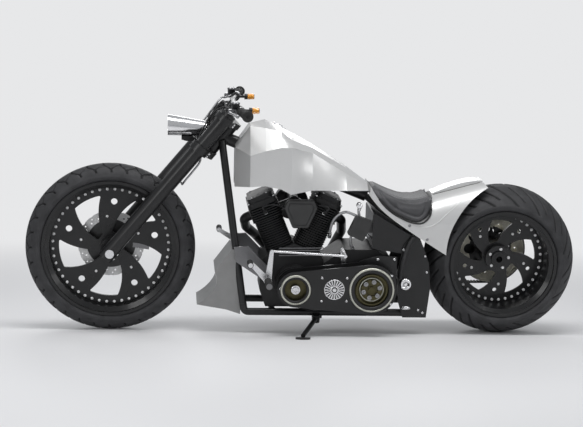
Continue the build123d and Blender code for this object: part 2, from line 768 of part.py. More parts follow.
# Seat and tail share the curve that the seat lies on
seat_curve = [(592, 668), (532, 588), (464, 541), (384, 519), (340, 548), (326, 600)]
seat_crown = [(592, 676), (560, 654), (510, 628), (428, 606), (370, 612), (326, 634)]
SEAT_HALF = 124.0
TAIL_HALF = 165.0
SKIN = 5.0
with BuildPart() as seat:
    with BuildSketch(side(SEAT_HALF)):
        with BuildLine():
            seat_under = Spline(*seat_curve)
            seat_over = Spline(*seat_crown)
            Line(seat_under @ 0, seat_over @ 0)
            Line(seat_under @ 1, seat_over @ 1)
        make_face()
    extrude(amount=2 * SEAT_HALF)
    with BuildSketch(Plane.YZ.offset(300)):
        with BuildLine():
            crown = ThreePointArc((-SEAT_HALF, 500), (0, 700), (SEAT_HALF, 500))
            Line(crown @ 1, crown @ 0)
        make_face()
    extrude(amount=320, mode=Mode.INTERSECT)
seat.part.label = "seat"
seat.part.locate(parked)
export_step(seat.part, "parts/seat.step")

# Tail: one shell that sweeps from under the seat up over the front of the rear tyre
tail_front = [(316, 632), (252, 659), (171, 684), (97, 692)]
tail_plan = [(60, 128), (150, 160), (250, TAIL_HALF), (380, 158), (601.6, 116)]
hollow_plan = [(40, 118), (150, 160 - SKIN), (250, TAIL_HALF - SKIN), (380, 158 - SKIN), (620, 108 - SKIN)]
BAND_HALF = 42.0
band_front = Vector(tail_front[0][0], 0, tail_front[0][1])
band_way = (Vector(tail_front[-1][0], 0, tail_front[-1][1]) - band_front).normalized()


def shoulder_cut(inset):
    """What lies outside the tail where its sides curve over to the raised band on top."""
    with BuildPart() as cut:
        with BuildSketch(Plane(origin=band_front - band_way * 70, x_dir=(0, -1, 0), z_dir=band_way)):
            with BuildLine():
                shoulder = Spline(
                    (BAND_HALF - inset, -6 - inset),
                    (100 - inset, -24 - inset),
                    (142 - inset, -66 - inset),
                    (TAIL_HALF - inset, -130 - inset),
                )
                Polyline(shoulder @ 1, (TAIL_HALF + 40, -130 - inset), (TAIL_HALF + 40, 90), (BAND_HALF - inset, 90))
                Line((BAND_HALF - inset, 90), shoulder @ 0)
            make_face()
            mirror(about=Plane.YZ)
        extrude(amount=360)
    return cut.part


with BuildPart() as tail_hollow:
    with BuildSketch(side(TAIL_HALF)):
        with BuildLine():
            inner_seat = Spline(*[(x, z - SKIN - 0.7) for x, z in seat_curve[1:5]])
            inner_hump = Spline((308, 628), (250, 653), (170, 678), (97, 686))
            Line(inner_seat @ 1, inner_hump @ 0)
            Polyline(inner_hump @ 1, (30, 662), (30, 300), (660, 300), (660, 650), (590, 650), inner_seat @ 0)
        make_face()
    extrude(amount=TAIL_HALF * 2)
    with BuildSketch(Plane.XY.offset(250)):
        with BuildLine():
            Polyline(*hollow_plan, *[(x, -y) for x, y in reversed(hollow_plan)], close=True)
        make_face()
    extrude(amount=500, mode=Mode.INTERSECT)
    add(shoulder_cut(SKIN + 1.5), mode=Mode.SUBTRACT)
tail_lugs = [
    slab([(388, 486), (408, 486), (408, 516), (388, 516)], hand * 50, hand * 72) for hand in (1, -1)
]
with BuildPart() as tail:
    with BuildSketch(side(TAIL_HALF)):
        with BuildLine():
            under_seat = Spline(*[(x - 0.2, z - 0.7) for x, z in seat_curve])
            Line(under_seat @ 1, tail_front[0])
            hump = Spline(*tail_front)
            Line(hump @ 1, (79, 670))
            Spline((79, 670), (142, 630), (205, 562), (246, 480), (261, 381))
            skirt = Spline((261, 381), (331, 424), (430, 487), (533, 560), (601.6, 637))
            Line(skirt @ 1, under_seat @ 0)
        make_face()
    extrude(amount=2 * TAIL_HALF)
    with BuildSketch(Plane.XY.offset(300)):
        with BuildLine():
            Polyline(*tail_plan, *[(x, -y) for x, y in reversed(tail_plan)], close=True)
        make_face()
    extrude(amount=500, mode=Mode.INTERSECT)
    add(shoulder_cut(0), mode=Mode.SUBTRACT)
    add(tail_hollow.part, mode=Mode.SUBTRACT)
    add(tail_lugs)
    add(turned(seat_tie, -146, 146, SEAT_TIE_RADIUS + SEAT_GAP), mode=Mode.SUBTRACT)
tail.part.label = "tail"
tail.part.locate(parked)
export_step(tail.part, "parts/tail.step")

# Chin spoiler: a bent sheet ahead of the downtubes, open behind
CHIN_HALF = 108.0


def ahead(x, z):
    """Point of a side outline at a distance ahead of the lower rails' front."""
    return (RAIL_FRONT + x, z)


spoiler_trims = [bar(top, foot, TUBE + 0.3) for top, foot in down_lines]
spoiler_trims += [bar((RAIL_FRONT + 17, y, 165), (RAIL_FRONT + 5, y, 90), TUBE + 3) for y in (RAIL_Y, -RAIL_Y)]
with BuildPart() as chin_spoiler:
    with BuildSketch(side(CHIN_HALF)):
        with BuildLine():
            chin_top = Line(ahead(68, 384), ahead(140, 286))
            chin_nose = Spline(chin_top @ 1, ahead(130, 240), ahead(152, 192), ahead(216, 138))
            Polyline(chin_nose @ 1, ahead(86, 116), ahead(26, 96), ahead(22, 180), ahead(38, 270), ahead(54, 384), chin_top @ 0)
        make_face()
    extrude(amount=2 * CHIN_HALF)
    with BuildSketch(side(CHIN_HALF - SKIN)):
        with BuildLine():
            Polyline(
                ahead(6, 394),
                ahead(60, 384),
                ahead(131, 288),
                ahead(121, 240),
                ahead(144, 192),
                ahead(194, 143),
                ahead(86, 122),
                ahead(29, 103),
                ahead(6, 103),
                close=True,
            )
        make_face()
    extrude(amount=2 * (CHIN_HALF - SKIN), mode=Mode.SUBTRACT)
    add(spoiler_trims, mode=Mode.SUBTRACT)
chin_spoiler.part.label = "chin_spoiler"
chin_spoiler.part.locate(parked)
export_step(chin_spoiler.part, "parts/chin_spoiler.step")

# Engine: crankcase, finned cylinders in a V, rocker boxes
BARREL_FROM = 164.0
PUSHROD_FOOT = 344.0
PUSHROD_Y = -112.0
half_v = radians(V_ANGLE / 2)
deck = BARREL_FROM - 4
deck_edge = 58.0
deck_peak = CRANK[1] + deck / cos(half_v)
deck_low = CRANK[1] + deck * cos(half_v) - deck_edge * sin(half_v)
deck_reach = deck * sin(half_v) + deck_edge * cos(half_v)
case_outline = [
    (800, CASE_FLOOR),
    (1040, CASE_FLOOR),
    (1066, 200),
    (1066, 330),
    (CRANK[0] + deck_reach, deck_low),
    (CRANK[0], deck_peak),
    (CRANK[0] - deck_reach, deck_low),
    (790, 340),
    (790, 180),
]
with BuildPart() as crankcase:
    add(slab(case_outline, -92, 92))
    with BuildSketch(side(158)):
        with Locations(CRANK):
            Circle(82)
    extrude(amount=66)
    with BuildSketch(side(-92)):
        with Locations((CRANK[0] + 14, CRANK[1] - 2)):
            Circle(88)
        with Locations((CRANK[0] + 86, CRANK[1] + 40)):
            Circle(52)
    extrude(amount=42)
    add(slab([(858, 250), (858, PUSHROD_FOOT), (980, PUSHROD_FOOT), (980, 250)], -134, -92))
crankcase.part.label = "crankcase"
crankcase.part.locate(parked)
export_step(crankcase.part, "parts/crankcase.step")


def bore_plane(hand, along):
    """Plane square to a cylinder's bore, at a distance from the crank; hand 1 is the front one."""
    tip = radians(V_ANGLE / 2) * hand
    way = Vector(sin(tip), 0, cos(tip))
    origin = Vector(CRANK[0], 0, CRANK[1]) + way * along
    return Plane(origin=origin, x_dir=(cos(tip), 0, -sin(tip)), z_dir=way)


FIN_PITCH = 10.5
FIN_THICK = 4.0
BARREL_FINS = 13
HEAD_FINS = 6
head_from = BARREL_FROM + BARREL_FINS * FIN_PITCH
head_to = head_from + HEAD_FINS * FIN_PITCH
with BuildPart() as cylinders:
    for hand in (1, -1):
        with BuildSketch(bore_plane(hand, deck)):
            Circle(53)
        extrude(amount=head_to - deck)
        for fin in range(BARREL_FINS):
            with BuildSketch(bore_plane(hand, BARREL_FROM + fin * FIN_PITCH)):
                RectangleRounded(124, 136, 30)
            extrude(amount=FIN_THICK)
        for fin in range(HEAD_FINS):
            with BuildSketch(bore_plane(hand, head_from + fin * FIN_PITCH)):
                RectangleRounded(136, 152, 24)
            extrude(amount=FIN_THICK)
        with BuildSketch(bore_plane(hand, head_to)):
            RectangleRounded(132, 148, 24)
        extrude(amount=6)
cylinders.part.label = "cylinders"
cylinders.part.locate(parked)
export_step(cylinders.part, "parts/cylinders.step")

ROCKER_HEIGHT = 38.0
rocker_from = head_to + 6
with BuildPart() as rocker_boxes:
    for hand in (1, -1):
        with BuildSketch(bore_plane(hand, rocker_from)):
            with Locations((0, -26)):
                RectangleRounded(128, 198, 26)
        extrude(amount=ROCKER_HEIGHT * 0.45)
        with BuildSketch(bore_plane(hand, rocker_from + ROCKER_HEIGHT * 0.45)):
            with Locations((0, -26)):
                RectangleRounded(114, 184, 26)
        extrude(amount=ROCKER_HEIGHT * 0.55, taper=8)
rocker_boxes.part.label = "rocker_boxes"
rocker_boxes.part.locate(parked)
export_step(rocker_boxes.part, "parts/rocker_boxes.step")

# Pushrod tubes on the right, from the cam case up to the rocker boxes
push_rods = []
for hand in (1, -1):
    for gap, reach in ((13, 34), (36, 0)):
        low = Vector(CRANK[0] + hand * gap, PUSHROD_Y, PUSHROD_FOOT + SEAT_GAP)
        seat_plane = bore_plane(hand, rocker_from - 3)
        high = seat_plane.origin - seat_plane.x_dir * hand * reach + Vector(0, PUSHROD_Y + 8, 0)
        push_rods.append(bar(low + (low - high).normalized() * 12, high, 8))
with BuildPart() as pushrod_tubes:
    add(push_rods)
    split(bisect_by=Plane.XY.offset(PUSHROD_FOOT + SEAT_GAP), keep=Keep.TOP)
pushrod_tubes.part.label = "pushrod_tubes"
pushrod_tubes.part.locate(parked)
export_step(pushrod_tubes.part, "parts/pushrod_tubes.step")

# Manifold between the heads, the air cleaner on the right of it
front_inlet = bore_plane(1, head_from + 20)
inlet_from = front_inlet.origin - front_inlet.x_dir * (68 + SEAT_GAP)
inlet_run = (inlet_from.X - CRANK[0]) / front_inlet.x_dir.X
inlet_mid = inlet_from - front_inlet.x_dir * inlet_run
inlet = (inlet_mid.X, inlet_mid.Z)
MANIFOLD_RADIUS = 18.0
CARB_LEFT = 19.0
front_branch = bar(inlet_from, inlet_mid, MANIFOLD_RADIUS)
rear_branch = bar((2 * CRANK[0] - inlet_from.X, 0, inlet_from.Z), inlet_mid, MANIFOLD_RADIUS)
with BuildPart() as air_cleaner:
    add(turned((inlet[0], inlet[1] - 36), -196, -138, 76))
    fillet(air_cleaner.faces().sort_by(Axis.Y)[0].edges(), radius=12)
    add(turned(inlet, -140, CARB_LEFT, 23))
    add(front_branch)
    add(rear_branch)
air_cleaner.part.label = "air_cleaner"
air_cleaner.part.locate(parked)
export_step(air_cleaner.part, "parts/air_cleaner.step")

# Horn cover on the left, carried by a post on the manifold
HORN_MID = 896.0
HORN_BACK = 92.0
HORN_FACE = 122.0
HORN_BORDER = 13.0
horn_half = [(-58, 608), (58, 608), (72, 572), (34, 484), (-34, 484), (-72, 572)]
with BuildPart() as horn_cover:
    with BuildSketch(side(HORN_FACE)) as horn_shield:
        with BuildLine():
            Polyline([(HORN_MID + x, z) for x, z in horn_half], close=True)
        make_face()
        fillet(horn_shield.vertices(), radius=14)
    extrude(amount=HORN_FACE - HORN_BACK)
    fillet(horn_cover.faces().sort_by(Axis.Y)[-1].edges(), radius=6)
    with BuildSketch(side(HORN_FACE)):
        offset(horn_shield.sketch, amount=-HORN_BORDER)
        offset(horn_shield.sketch, amount=-HORN_BORDER - 4, mode=Mode.SUBTRACT)
    extrude(amount=4, mode=Mode.SUBTRACT)
    add(turned(inlet, CARB_LEFT + SEAT_GAP, 92, 10))
horn_cover.part.label = "horn_cover"
horn_cover.part.locate(parked)
export_step(horn_cover.part, "parts/horn_cover.step")

# Open primary drive on the left: motor plate, pulleys, toothed belt, outer guard
FRONT_PULLEY = 60.0
CLUTCH_RADIUS = 92.0
PLATE_Y = 158.0
BELT_IN = 176.0
BELT_OUT = 218.0
GUARD_Y = 224.0
GUARD_THICK = 10.0
CLUTCH_BASKET = 68.0
FRONT_RING = 66.0
CLUTCH_RING = 98.0
RING_HEIGHT = 8.0
BEZEL = 19.0
BADGE = (752.0, 241.0)
BADGE_RADIUS = 44.0
with BuildPart() as motor_plate:
    add(belt_loop(CRANK, 79, CLUTCH, 112, PLATE_Y, PLATE_Y + 12))
    add(slab([(476, 250), (476, 372), (560, 376), (640, 352), (640, 250)], PLATE_Y, PLATE_Y + 12))
    with BuildSketch(side(PLATE_Y + 12)):
        with Locations(CRANK, CLUTCH):
            Circle(22)
    extrude(amount=12, mode=Mode.SUBTRACT)
motor_plate.part.label = "motor_plate"
motor_plate.part.locate(parked)
export_step(motor_plate.part, "parts/motor_plate.step")

with BuildPart() as primary_pulleys:
    add(turned(CRANK, PLATE_Y + 0.3, BELT_IN - 2, 20))
    add(turned(CRANK, BELT_IN - 2, BELT_OUT + 2, FRONT_PULLEY - 6))
    add(turned(CRANK, BELT_OUT - 10, BELT_OUT + 2, FRONT_PULLEY - 14), mode=Mode.SUBTRACT)
    add(turned(CRANK, BELT_OUT - 10, BELT_OUT + 18, 19))
    add(turned(CLUTCH, PLATE_Y - 6, BELT_IN - 2, 20))
    add(turned(CLUTCH, BELT_IN - 2, BELT_OUT + 2, CLUTCH_RADIUS - 6))
    add(turned(CLUTCH, BELT_OUT + 2, BELT_OUT + 16, CLUTCH_BASKET))
    add(turned(CLUTCH, BELT_OUT - 2, BELT_OUT + 16, CLUTCH_BASKET - 6), mode=Mode.SUBTRACT)
    add(turned(CLUTCH, BELT_OUT - 2, BELT_OUT + 6, CLUTCH_BASKET - 14))
    with BuildSketch(side(BELT_OUT + 6)):
        with Locations(CLUTCH):
            with PolarLocations(36, 6, start_angle=15):
                Circle(10)
            RegularPolygon(15, 6)
    extrude(amount=-9)
primary_pulleys.part.label = "primary_pulleys"
primary_pulleys.part.locate(parked)
export_step(primary_pulleys.part, "parts/primary_pulleys.step")

belt_outer = belt_loop(CRANK, FRONT_PULLEY - 0.7, CLUTCH, CLUTCH_RADIUS - 0.7, BELT_IN, BELT_OUT)
belt_inner = belt_loop(CRANK, FRONT_PULLEY - 5.7, CLUTCH, CLUTCH_RADIUS - 5.7, BELT_IN, BELT_OUT)
with BuildPart() as primary_belt:
    add(belt_outer)
    add(belt_inner, mode=Mode.SUBTRACT)
primary_belt.part.label = "primary_belt"
primary_belt.part.locate(parked)
export_step(primary_belt.part, "parts/primary_belt.step")

guard_posts = [(CRANK[0] + 66, CRANK[1] + 6), (505, 304), (505, 178), (752, 238)]
with BuildPart() as primary_guard:
    add(belt_loop(CRANK, 78, CLUTCH, 110, GUARD_Y, GUARD_Y + GUARD_THICK))
    with BuildSketch(side(GUARD_Y + GUARD_THICK)):
        with Locations(CRANK):
            Circle(FRONT_RING - BEZEL)
        with Locations(CLUTCH):
            Circle(CLUTCH_RING - BEZEL - 5)
    extrude(amount=GUARD_THICK, mode=Mode.SUBTRACT)
    with BuildSketch(side(GUARD_Y + GUARD_THICK + RING_HEIGHT)):
        with Locations(CRANK):
            Circle(FRONT_RING)
            Circle(FRONT_RING - BEZEL, mode=Mode.SUBTRACT)
        with Locations(CLUTCH):
            Circle(CLUTCH_RING)
            Circle(CLUTCH_RING - BEZEL - 5, mode=Mode.SUBTRACT)
    extrude(amount=RING_HEIGHT)
    ring_rims = primary_guard.faces().sort_by(Axis.Y)[-2:].edges()
    chamfer(ring_rims, length=3)
    add(turned(BADGE, GUARD_Y + GUARD_THICK, GUARD_Y + GUARD_THICK + 4, BADGE_RADIUS))
    add(turned(BADGE, GUARD_Y + GUARD_THICK, GUARD_Y + GUARD_THICK + 7, BADGE_RADIUS * 0.72))
    add(turned(BADGE, GUARD_Y + GUARD_THICK, GUARD_Y + GUARD_THICK + 10, BADGE_RADIUS * 0.3))
    for post in guard_posts:
        add(turned(post, PLATE_Y + 12, GUARD_Y, 6))
primary_guard.part.label = "primary_guard"
primary_guard.part.locate(parked)
export_step(primary_guard.part, "parts/primary_guard.step")

# Gearbox behind the motor plate, with its output pulley on the right
gearbox_outline = [(500, BOX_FLOOR), (742, BOX_FLOOR), (789.7, 190), (789.7, 330), (700, 392), (560, 392), (490, 340)]
with BuildPart() as gearbox:
    add(slab(gearbox_outline, -120, 118))
    add(turned(CLUTCH, 118, PLATE_Y - 6.3, 34))
    add(turned(CLUTCH, pulley_right + 4, -120, 20))
    add(turned(CLUTCH, pulley_right, pulley_left, OUTPUT_RADIUS))
gearbox.part.label = "gearbox"
gearbox.part.locate(parked)
export_step(gearbox.part, "parts/gearbox.step")

# Final drive belt on the right
belt_right = BELT_Y - BELT_WIDTH / 2
belt_left = BELT_Y + BELT_WIDTH / 2
rear_spot = (0.0, rear_axle_z)
drive_outer = belt_loop(rear_spot, PULLEY_RADIUS + 5.5, CLUTCH, OUTPUT_RADIUS + 5.5, belt_right, belt_left)
drive_inner = belt_loop(rear_spot, PULLEY_RADIUS + 0.5, CLUTCH, OUTPUT_RADIUS + 0.3, belt_right - 1, belt_left + 1)
with BuildPart() as drive_belt:
    add(drive_outer)
    add(drive_inner, mode=Mode.SUBTRACT)
drive_belt.part.label = "drive_belt"
drive_belt.part.locate(parked)
export_step(drive_belt.part, "parts/drive_belt.step")

# Rear caliper on the swing arm, over the pulley's disc
disc_y = pulley_right - 13
with BuildPart() as rear_caliper:
    with BuildSketch(wheel_face(rear_hub, disc_y + 9)):
        with BuildLine():
            rear_outer = CenterArc((0, 0), 146, 150, 50)
            rear_inner = CenterArc((0, 0), 92, 150, 50)
            Line(rear_outer @ 0, rear_inner @ 0)
            Line(rear_outer @ 1, rear_inner @ 1)
        make_face()
    extrude(amount=ARM_IN - disc_y - 9)
    with BuildSketch(wheel_face(rear_hub, disc_y - 1)):
        Circle(142)
    extrude(amount=7, mode=Mode.SUBTRACT)
rear_caliper.part.label = "rear_caliper"
rear_caliper.part.locate(parked)
export_step(rear_caliper.part, "parts/rear_caliper.step")

# Oil tank and electric box
oil_outline = [(584, 562), (402, 454), (440, 380), (470, 384), (584, 402)]
with BuildPart() as oil_tank:
    add(slab(oil_outline, -137.7, 137.7, 8))
oil_tank.part.label = "oil_tank"
oil_tank.part.locate(parked)
export_step(oil_tank.part, "parts/oil_tank.step")

box_outline = [(654, 546), (584.4, 520), (600, 476), (624, 432), (692, 462)]
box_bracket = [(584.3, 514), (612, 514), (612, 470), (584.3, 470)]
with BuildPart() as electric_box:
    add(slab(box_outline, 96, 134, 7))
    add(slab(box_bracket, 102, 128))
electric_box.part.label = "electric_box"
electric_box.part.locate(parked)
export_step(electric_box.part, "parts/electric_box.step")

# Exhaust on the right: two headers into one muffler that ends ahead of the rear wheel
MUFFLER_Y = -262.0
MUFFLER_Z = 190.0
front_head = bore_plane(1, head_from + 20)
rear_head = bore_plane(-1, head_from + 20)
front_port = front_head.origin + front_head.x_dir * 68.3 + Vector(0, -40, 0)
rear_port = rear_head.origin - rear_head.x_dir * 68.3 + Vector(0, -40, 0)
front_header = bent_tube(
    [
        front_port,
        front_port + front_head.x_dir * 32,
        (1122, -118, 442),
        (1076, -172, 394),
        (976, -208, 282),
        (915, -240, 200),
        (800, MUFFLER_Y, MUFFLER_Z),
    ],
    21,
    24,
)
rear_header = bent_tube(
    [
        rear_port,
        rear_port - rear_head.x_dir * 32,
        (692, -128, 424),
        (728, -214, 320),
        (790, MUFFLER_Y, MUFFLER_Z + 10),
    ],
    21,
    24,
)
with BuildPart() as exhaust:
    add(front_header)
    add(rear_header)
    with BuildSketch(Plane(origin=(810, MUFFLER_Y, MUFFLER_Z), x_dir=(0, 1, 0), z_dir=(-1, 0, 0))):
        Circle(30)
    with BuildSketch(Plane(origin=(740, MUFFLER_Y, MUFFLER_Z), x_dir=(0, 1, 0), z_dir=(-1, 0, 0))):
        Circle(50)
    loft()
    with BuildSketch(Plane(origin=(740, MUFFLER_Y, MUFFLER_Z), x_dir=(0, 1, 0), z_dir=(-1, 0, 0))):
        Circle(50)
    extrude(amount=240)
    with BuildSketch(Plane(origin=(500, MUFFLER_Y, MUFFLER_Z), x_dir=(0, 1, 0), z_dir=(-1, 0, 0))):
        Circle(40)
    extrude(amount=-60, mode=Mode.SUBTRACT)
exhaust.part.label = "exhaust"
exhaust.part.locate(parked)
export_step(exhaust.part, "parts/exhaust.step")

# Forward controls: a bracket clamped beside each downtube, with spindle and foot peg
PEG = (RAIL_FRONT - 84, 280.0)
bracket_ahead = [(60, 404), (-2, 408), (-102, 304), (-102, 262), (-64, 262), (52, 340)]
bracket_outline = [(RAIL_FRONT + x, z) for x, z in bracket_ahead]
BRACKET_IN = 134.0
BRACKET_OUT = 146.0
SPINDLE = 8.0
PEG_FROM = 258.0
PEG_TO = 352.0
BOSS = (RAIL_FRONT + 38, 372.0)
tube_trims = [bar(top, foot, TUBE + 0.2) for top, foot in down_lines]


def foot_bracket(hand):
    """Bracket plate with a boss towards the downtube, the spindle and the foot peg."""
    return [
        slab(bracket_outline, hand * BRACKET_IN, hand * BRACKET_OUT, 5),
        turned(BOSS, hand * 96.0, hand * BRACKET_IN, 12),
        turned(PEG, hand * BRACKET_OUT, hand * PEG_FROM, SPINDLE),
        turned(PEG, hand * PEG_FROM, hand * PEG_TO, 13),
    ]


with BuildPart() as left_foot_control:
    add(foot_bracket(1))
    add(tube_trims, mode=Mode.SUBTRACT)
left_foot_control.part.label = "left_foot_control"
left_foot_control.part.locate(parked)
export_step(left_foot_control.part, "parts/left_foot_control.step")

with BuildPart() as right_foot_control:
    add(foot_bracket(-1))
    add(tube_trims, mode=Mode.SUBTRACT)
right_foot_control.part.label = "right_foot_control"
right_foot_control.part.locate(parked)
export_step(right_foot_control.part, "parts/right_foot_control.step")

# Brake pedal on the right spindle
PEDAL_TOE = (PEG[0] + 196, 398.0)
pedal_arm = belt_loop(PEG, 17, PEDAL_TOE, 9, -244, -236)
with BuildPart() as brake_pedal:
    add(pedal_arm)
    add(turned(PEDAL_TOE, -300, -244, 11))
    with BuildSketch(side(-230)):
        with Locations(PEG):
            Circle(17)
    extrude(amount=20)
    with BuildSketch(side(-230)):
        with Locations(PEG):
            Circle(SPINDLE)
    extrude(amount=20, mode=Mode.SUBTRACT)
brake_pedal.part.label = "brake_pedal"
brake_pedal.part.locate(parked)
export_step(brake_pedal.part, "parts/brake_pedal.step")

# Shift lever on the left spindle
SHIFT_TOP = (PEG[0] - 14, 412.0)
SHIFT_REAR = (712.0, 394.0)
SHIFT_TOE = (PEG[0] + 79, 363.0)
SHIFT_FOOT = (700.0, 308.0)
SHIFT_Y = 247.0
ROD_Y = SHIFT_Y + 9
upper_arm = belt_loop(PEG, 15, SHIFT_TOP, 8, SHIFT_Y - 4, SHIFT_Y + 4)
toe_arm = belt_loop(PEG, 15, SHIFT_TOE, 9, SHIFT_Y - 4, SHIFT_Y + 4)
with BuildPart() as shift_lever:
    add(upper_arm)
    add(toe_arm)
    add(turned(SHIFT_TOE, SHIFT_Y - 4, SHIFT_Y + 70, 10))
    with BuildSketch(side(SHIFT_Y + 8)):
        with Locations(PEG):
            Circle(17)
    extrude(amount=16)
    with BuildSketch(side(SHIFT_Y + 8)):
        with Locations(PEG):
            Circle(SPINDLE)
    extrude(amount=16, mode=Mode.SUBTRACT)

# Long shift rod, back to the lever on the gearbox
gearbox_arm = belt_loop(SHIFT_FOOT, 12, SHIFT_REAR, 8, 124, 132)
with BuildPart() as shift_rod:
    add(bar((SHIFT_TOP[0], ROD_Y, SHIFT_TOP[1]), (SHIFT_REAR[0], ROD_Y, SHIFT_REAR[1]), 5))
    add(turned(SHIFT_TOP, SHIFT_Y + 4 + SEAT_GAP, ROD_Y + 6, 8))
    add(turned(SHIFT_REAR, 124, ROD_Y + 6, 8))
    add(gearbox_arm)
    add(turned(SHIFT_FOOT, 118 + SEAT_GAP, 128, 10))
with BuildPart() as shift_linkage:
    add(shift_lever.part)
    add(shift_rod.part)
shift_linkage.part.label = "shift_linkage"
shift_linkage.part.locate(parked)
export_step(shift_linkage.part, "parts/shift_linkage.step")

# Side stand: a leg that swings forward and out about a steep pin, its foot flat on the ground when parked
STAND_PIVOT = Vector(820, 152, 92)
STAND_FOOT = (888.0, 312.0)
STAND_STOWED = Vector(-1, 0.1, -0.02)
STAND_PIN = 7.0
EYE_HALF = 8.0
LEG_BAR = 10.0
ground_up = Vector(0, -sin(lean), cos(lean))
foot_spot = Vector(STAND_FOOT[0], STAND_FOOT[1], STAND_FOOT[1] * tan(lean))
leg_way = foot_spot + ground_up * 15 - STAND_PIVOT
pin_way = leg_way.cross(STAND_STOWED).normalized()
eye_plane = Plane(origin=STAND_PIVOT - pin_way * EYE_HALF, x_dir=leg_way.normalized(), z_dir=pin_way)
with BuildPart() as side_stand:
    with BuildSketch(Plane(origin=foot_spot, x_dir=(1, 0, 0), z_dir=ground_up)):
        Ellipse(32, 20)
    extrude(amount=8)
    add(bar(foot_spot + ground_up * 15, STAND_PIVOT, LEG_BAR))
    with BuildSketch(eye_plane):
        Circle(17)
    extrude(amount=2 * EYE_HALF)
    with BuildSketch(eye_plane.offset(-10)):
        Circle(STAND_PIN + FIT)
    extrude(amount=2 * EYE_HALF + 20, mode=Mode.SUBTRACT)
side_stand.part.label = "side_stand"
side_stand.part.locate(parked)
export_step(side_stand.part, "parts/side_stand.step")

ear_gap = EYE_HALF + 3
EAR_THICK = 6.0
clevis_plane = Plane(origin=STAND_PIVOT, x_dir=(1, 0, 0), z_dir=pin_way)
# Lower rails, bent up at the front to meet the downtubes, with cross tubes and the stand's clevis
rail_tubes = [
    bent_tube(
        [(RAIL_FRONT + 17, y, 165), (RAIL_FRONT + 9, y, RAIL_Z), (LOWER_TIE[0] + TIE + SEAT_GAP, y, RAIL_Z)], TUBE, 20
    )
    for y in (RAIL_Y, -RAIL_Y)
]
engine_tie = turned((1010, CASE_FLOOR - TIE - SEAT_GAP), -RAIL_Y, RAIL_Y, TIE)
gearbox_tie = turned((560, BOX_FLOOR - TIE - SEAT_GAP), -RAIL_Y, RAIL_Y, TIE)
with BuildPart() as frame_rails:
    add(rail_tubes)
    split(bisect_by=Plane.XY.offset(FRAME_JOINT_Z - 0.1), keep=Keep.BOTTOM)
    add(engine_tie)
    add(gearbox_tie)
    for low in (ear_gap, -ear_gap - EAR_THICK):
        with BuildSketch(clevis_plane.offset(low)):
            Circle(16)
            with Locations((0, -22)):
                Rectangle(32, 44)
        extrude(amount=EAR_THICK)
    with BuildSketch(clevis_plane.offset(-ear_gap - EAR_THICK)):
        with Locations((-6, -38)):
            Rectangle(44, 12)
    extrude(amount=2 * (ear_gap + EAR_THICK))
    with BuildSketch(clevis_plane.offset(-ear_gap - EAR_THICK - 3)):
        Circle(STAND_PIN)
    extrude(amount=2 * (ear_gap + EAR_THICK + 3))
frame_rails.part.label = "frame_rails"
frame_rails.part.locate(parked)
export_step(frame_rails.part, "parts/frame_rails.step")

# Turn signals on stalks behind the handlebar
SIGNAL_Y = 226.0
signal_share = (SIGNAL_Y - 118) / (GRIP_END_Y - 118)
signal_bar_x = BAR_CENTRE[0] + (BAR_END[0] - BAR_CENTRE[0]) * signal_share
signal_z = BAR_CENTRE[1] + 4 + (BAR_END[1] - BAR_CENTRE[1] - 4) * signal_share
with BuildPart() as turn_signals:
    for hand in (1, -1):
        stalk_face = Plane(origin=(signal_bar_x, hand * SIGNAL_Y, signal_z), x_dir=(0, 1, 0), z_dir=(-1, 0, 0))
        with BuildSketch(stalk_face.offset(BAR_RADIUS - 3)):
            Circle(6)
        extrude(amount=34)
        with BuildSketch(stalk_face.offset(BAR_RADIUS + 28)):
            Circle(13)
        extrude(amount=44, taper=3)
    add(bar_trim, mode=Mode.SUBTRACT)
turn_signals.part.label = "turn_signals"
turn_signals.part.locate(parked)
export_step(turn_signals.part, "parts/turn_signals.step")
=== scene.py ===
"""Looks of a chopper motorcycle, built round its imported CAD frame.

Every length below is in millimetres of the upright bike unless a name says metres: X forward from
the rear axle, Y to the rider's left, Z up from the ground. park() leans such points onto the side
stand and turns them to metres.
"""

import json
import math

import bmesh
import bpy
import numpy as np
from mathutils import Matrix, Vector


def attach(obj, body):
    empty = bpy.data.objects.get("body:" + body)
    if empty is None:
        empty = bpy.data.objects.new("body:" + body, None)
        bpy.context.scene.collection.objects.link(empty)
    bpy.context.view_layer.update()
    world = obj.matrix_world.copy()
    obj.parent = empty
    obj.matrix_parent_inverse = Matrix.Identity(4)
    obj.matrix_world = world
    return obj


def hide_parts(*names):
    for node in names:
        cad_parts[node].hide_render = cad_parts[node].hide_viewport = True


bl_info = {
    "name": "Chopper motorcycle looks",
    "version": (1, 0, 0),
    "blender": (4, 5, 0),
    "location": "View3D > Sidebar > Chopper",
    "description": "Dresses the packed chopper frame with tyres, fasteners, seat, trim and finishes",
    "category": "Object",
}

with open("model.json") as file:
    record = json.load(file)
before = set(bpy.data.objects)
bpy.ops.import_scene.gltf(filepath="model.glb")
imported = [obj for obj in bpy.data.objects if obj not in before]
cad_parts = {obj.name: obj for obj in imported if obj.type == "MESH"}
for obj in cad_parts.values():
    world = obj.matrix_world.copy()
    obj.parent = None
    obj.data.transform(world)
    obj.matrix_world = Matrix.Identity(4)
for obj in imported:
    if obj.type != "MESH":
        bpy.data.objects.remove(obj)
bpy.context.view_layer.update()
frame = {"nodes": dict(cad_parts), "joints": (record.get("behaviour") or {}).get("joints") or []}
joints = {j["name"]: j for j in frame["joints"]}

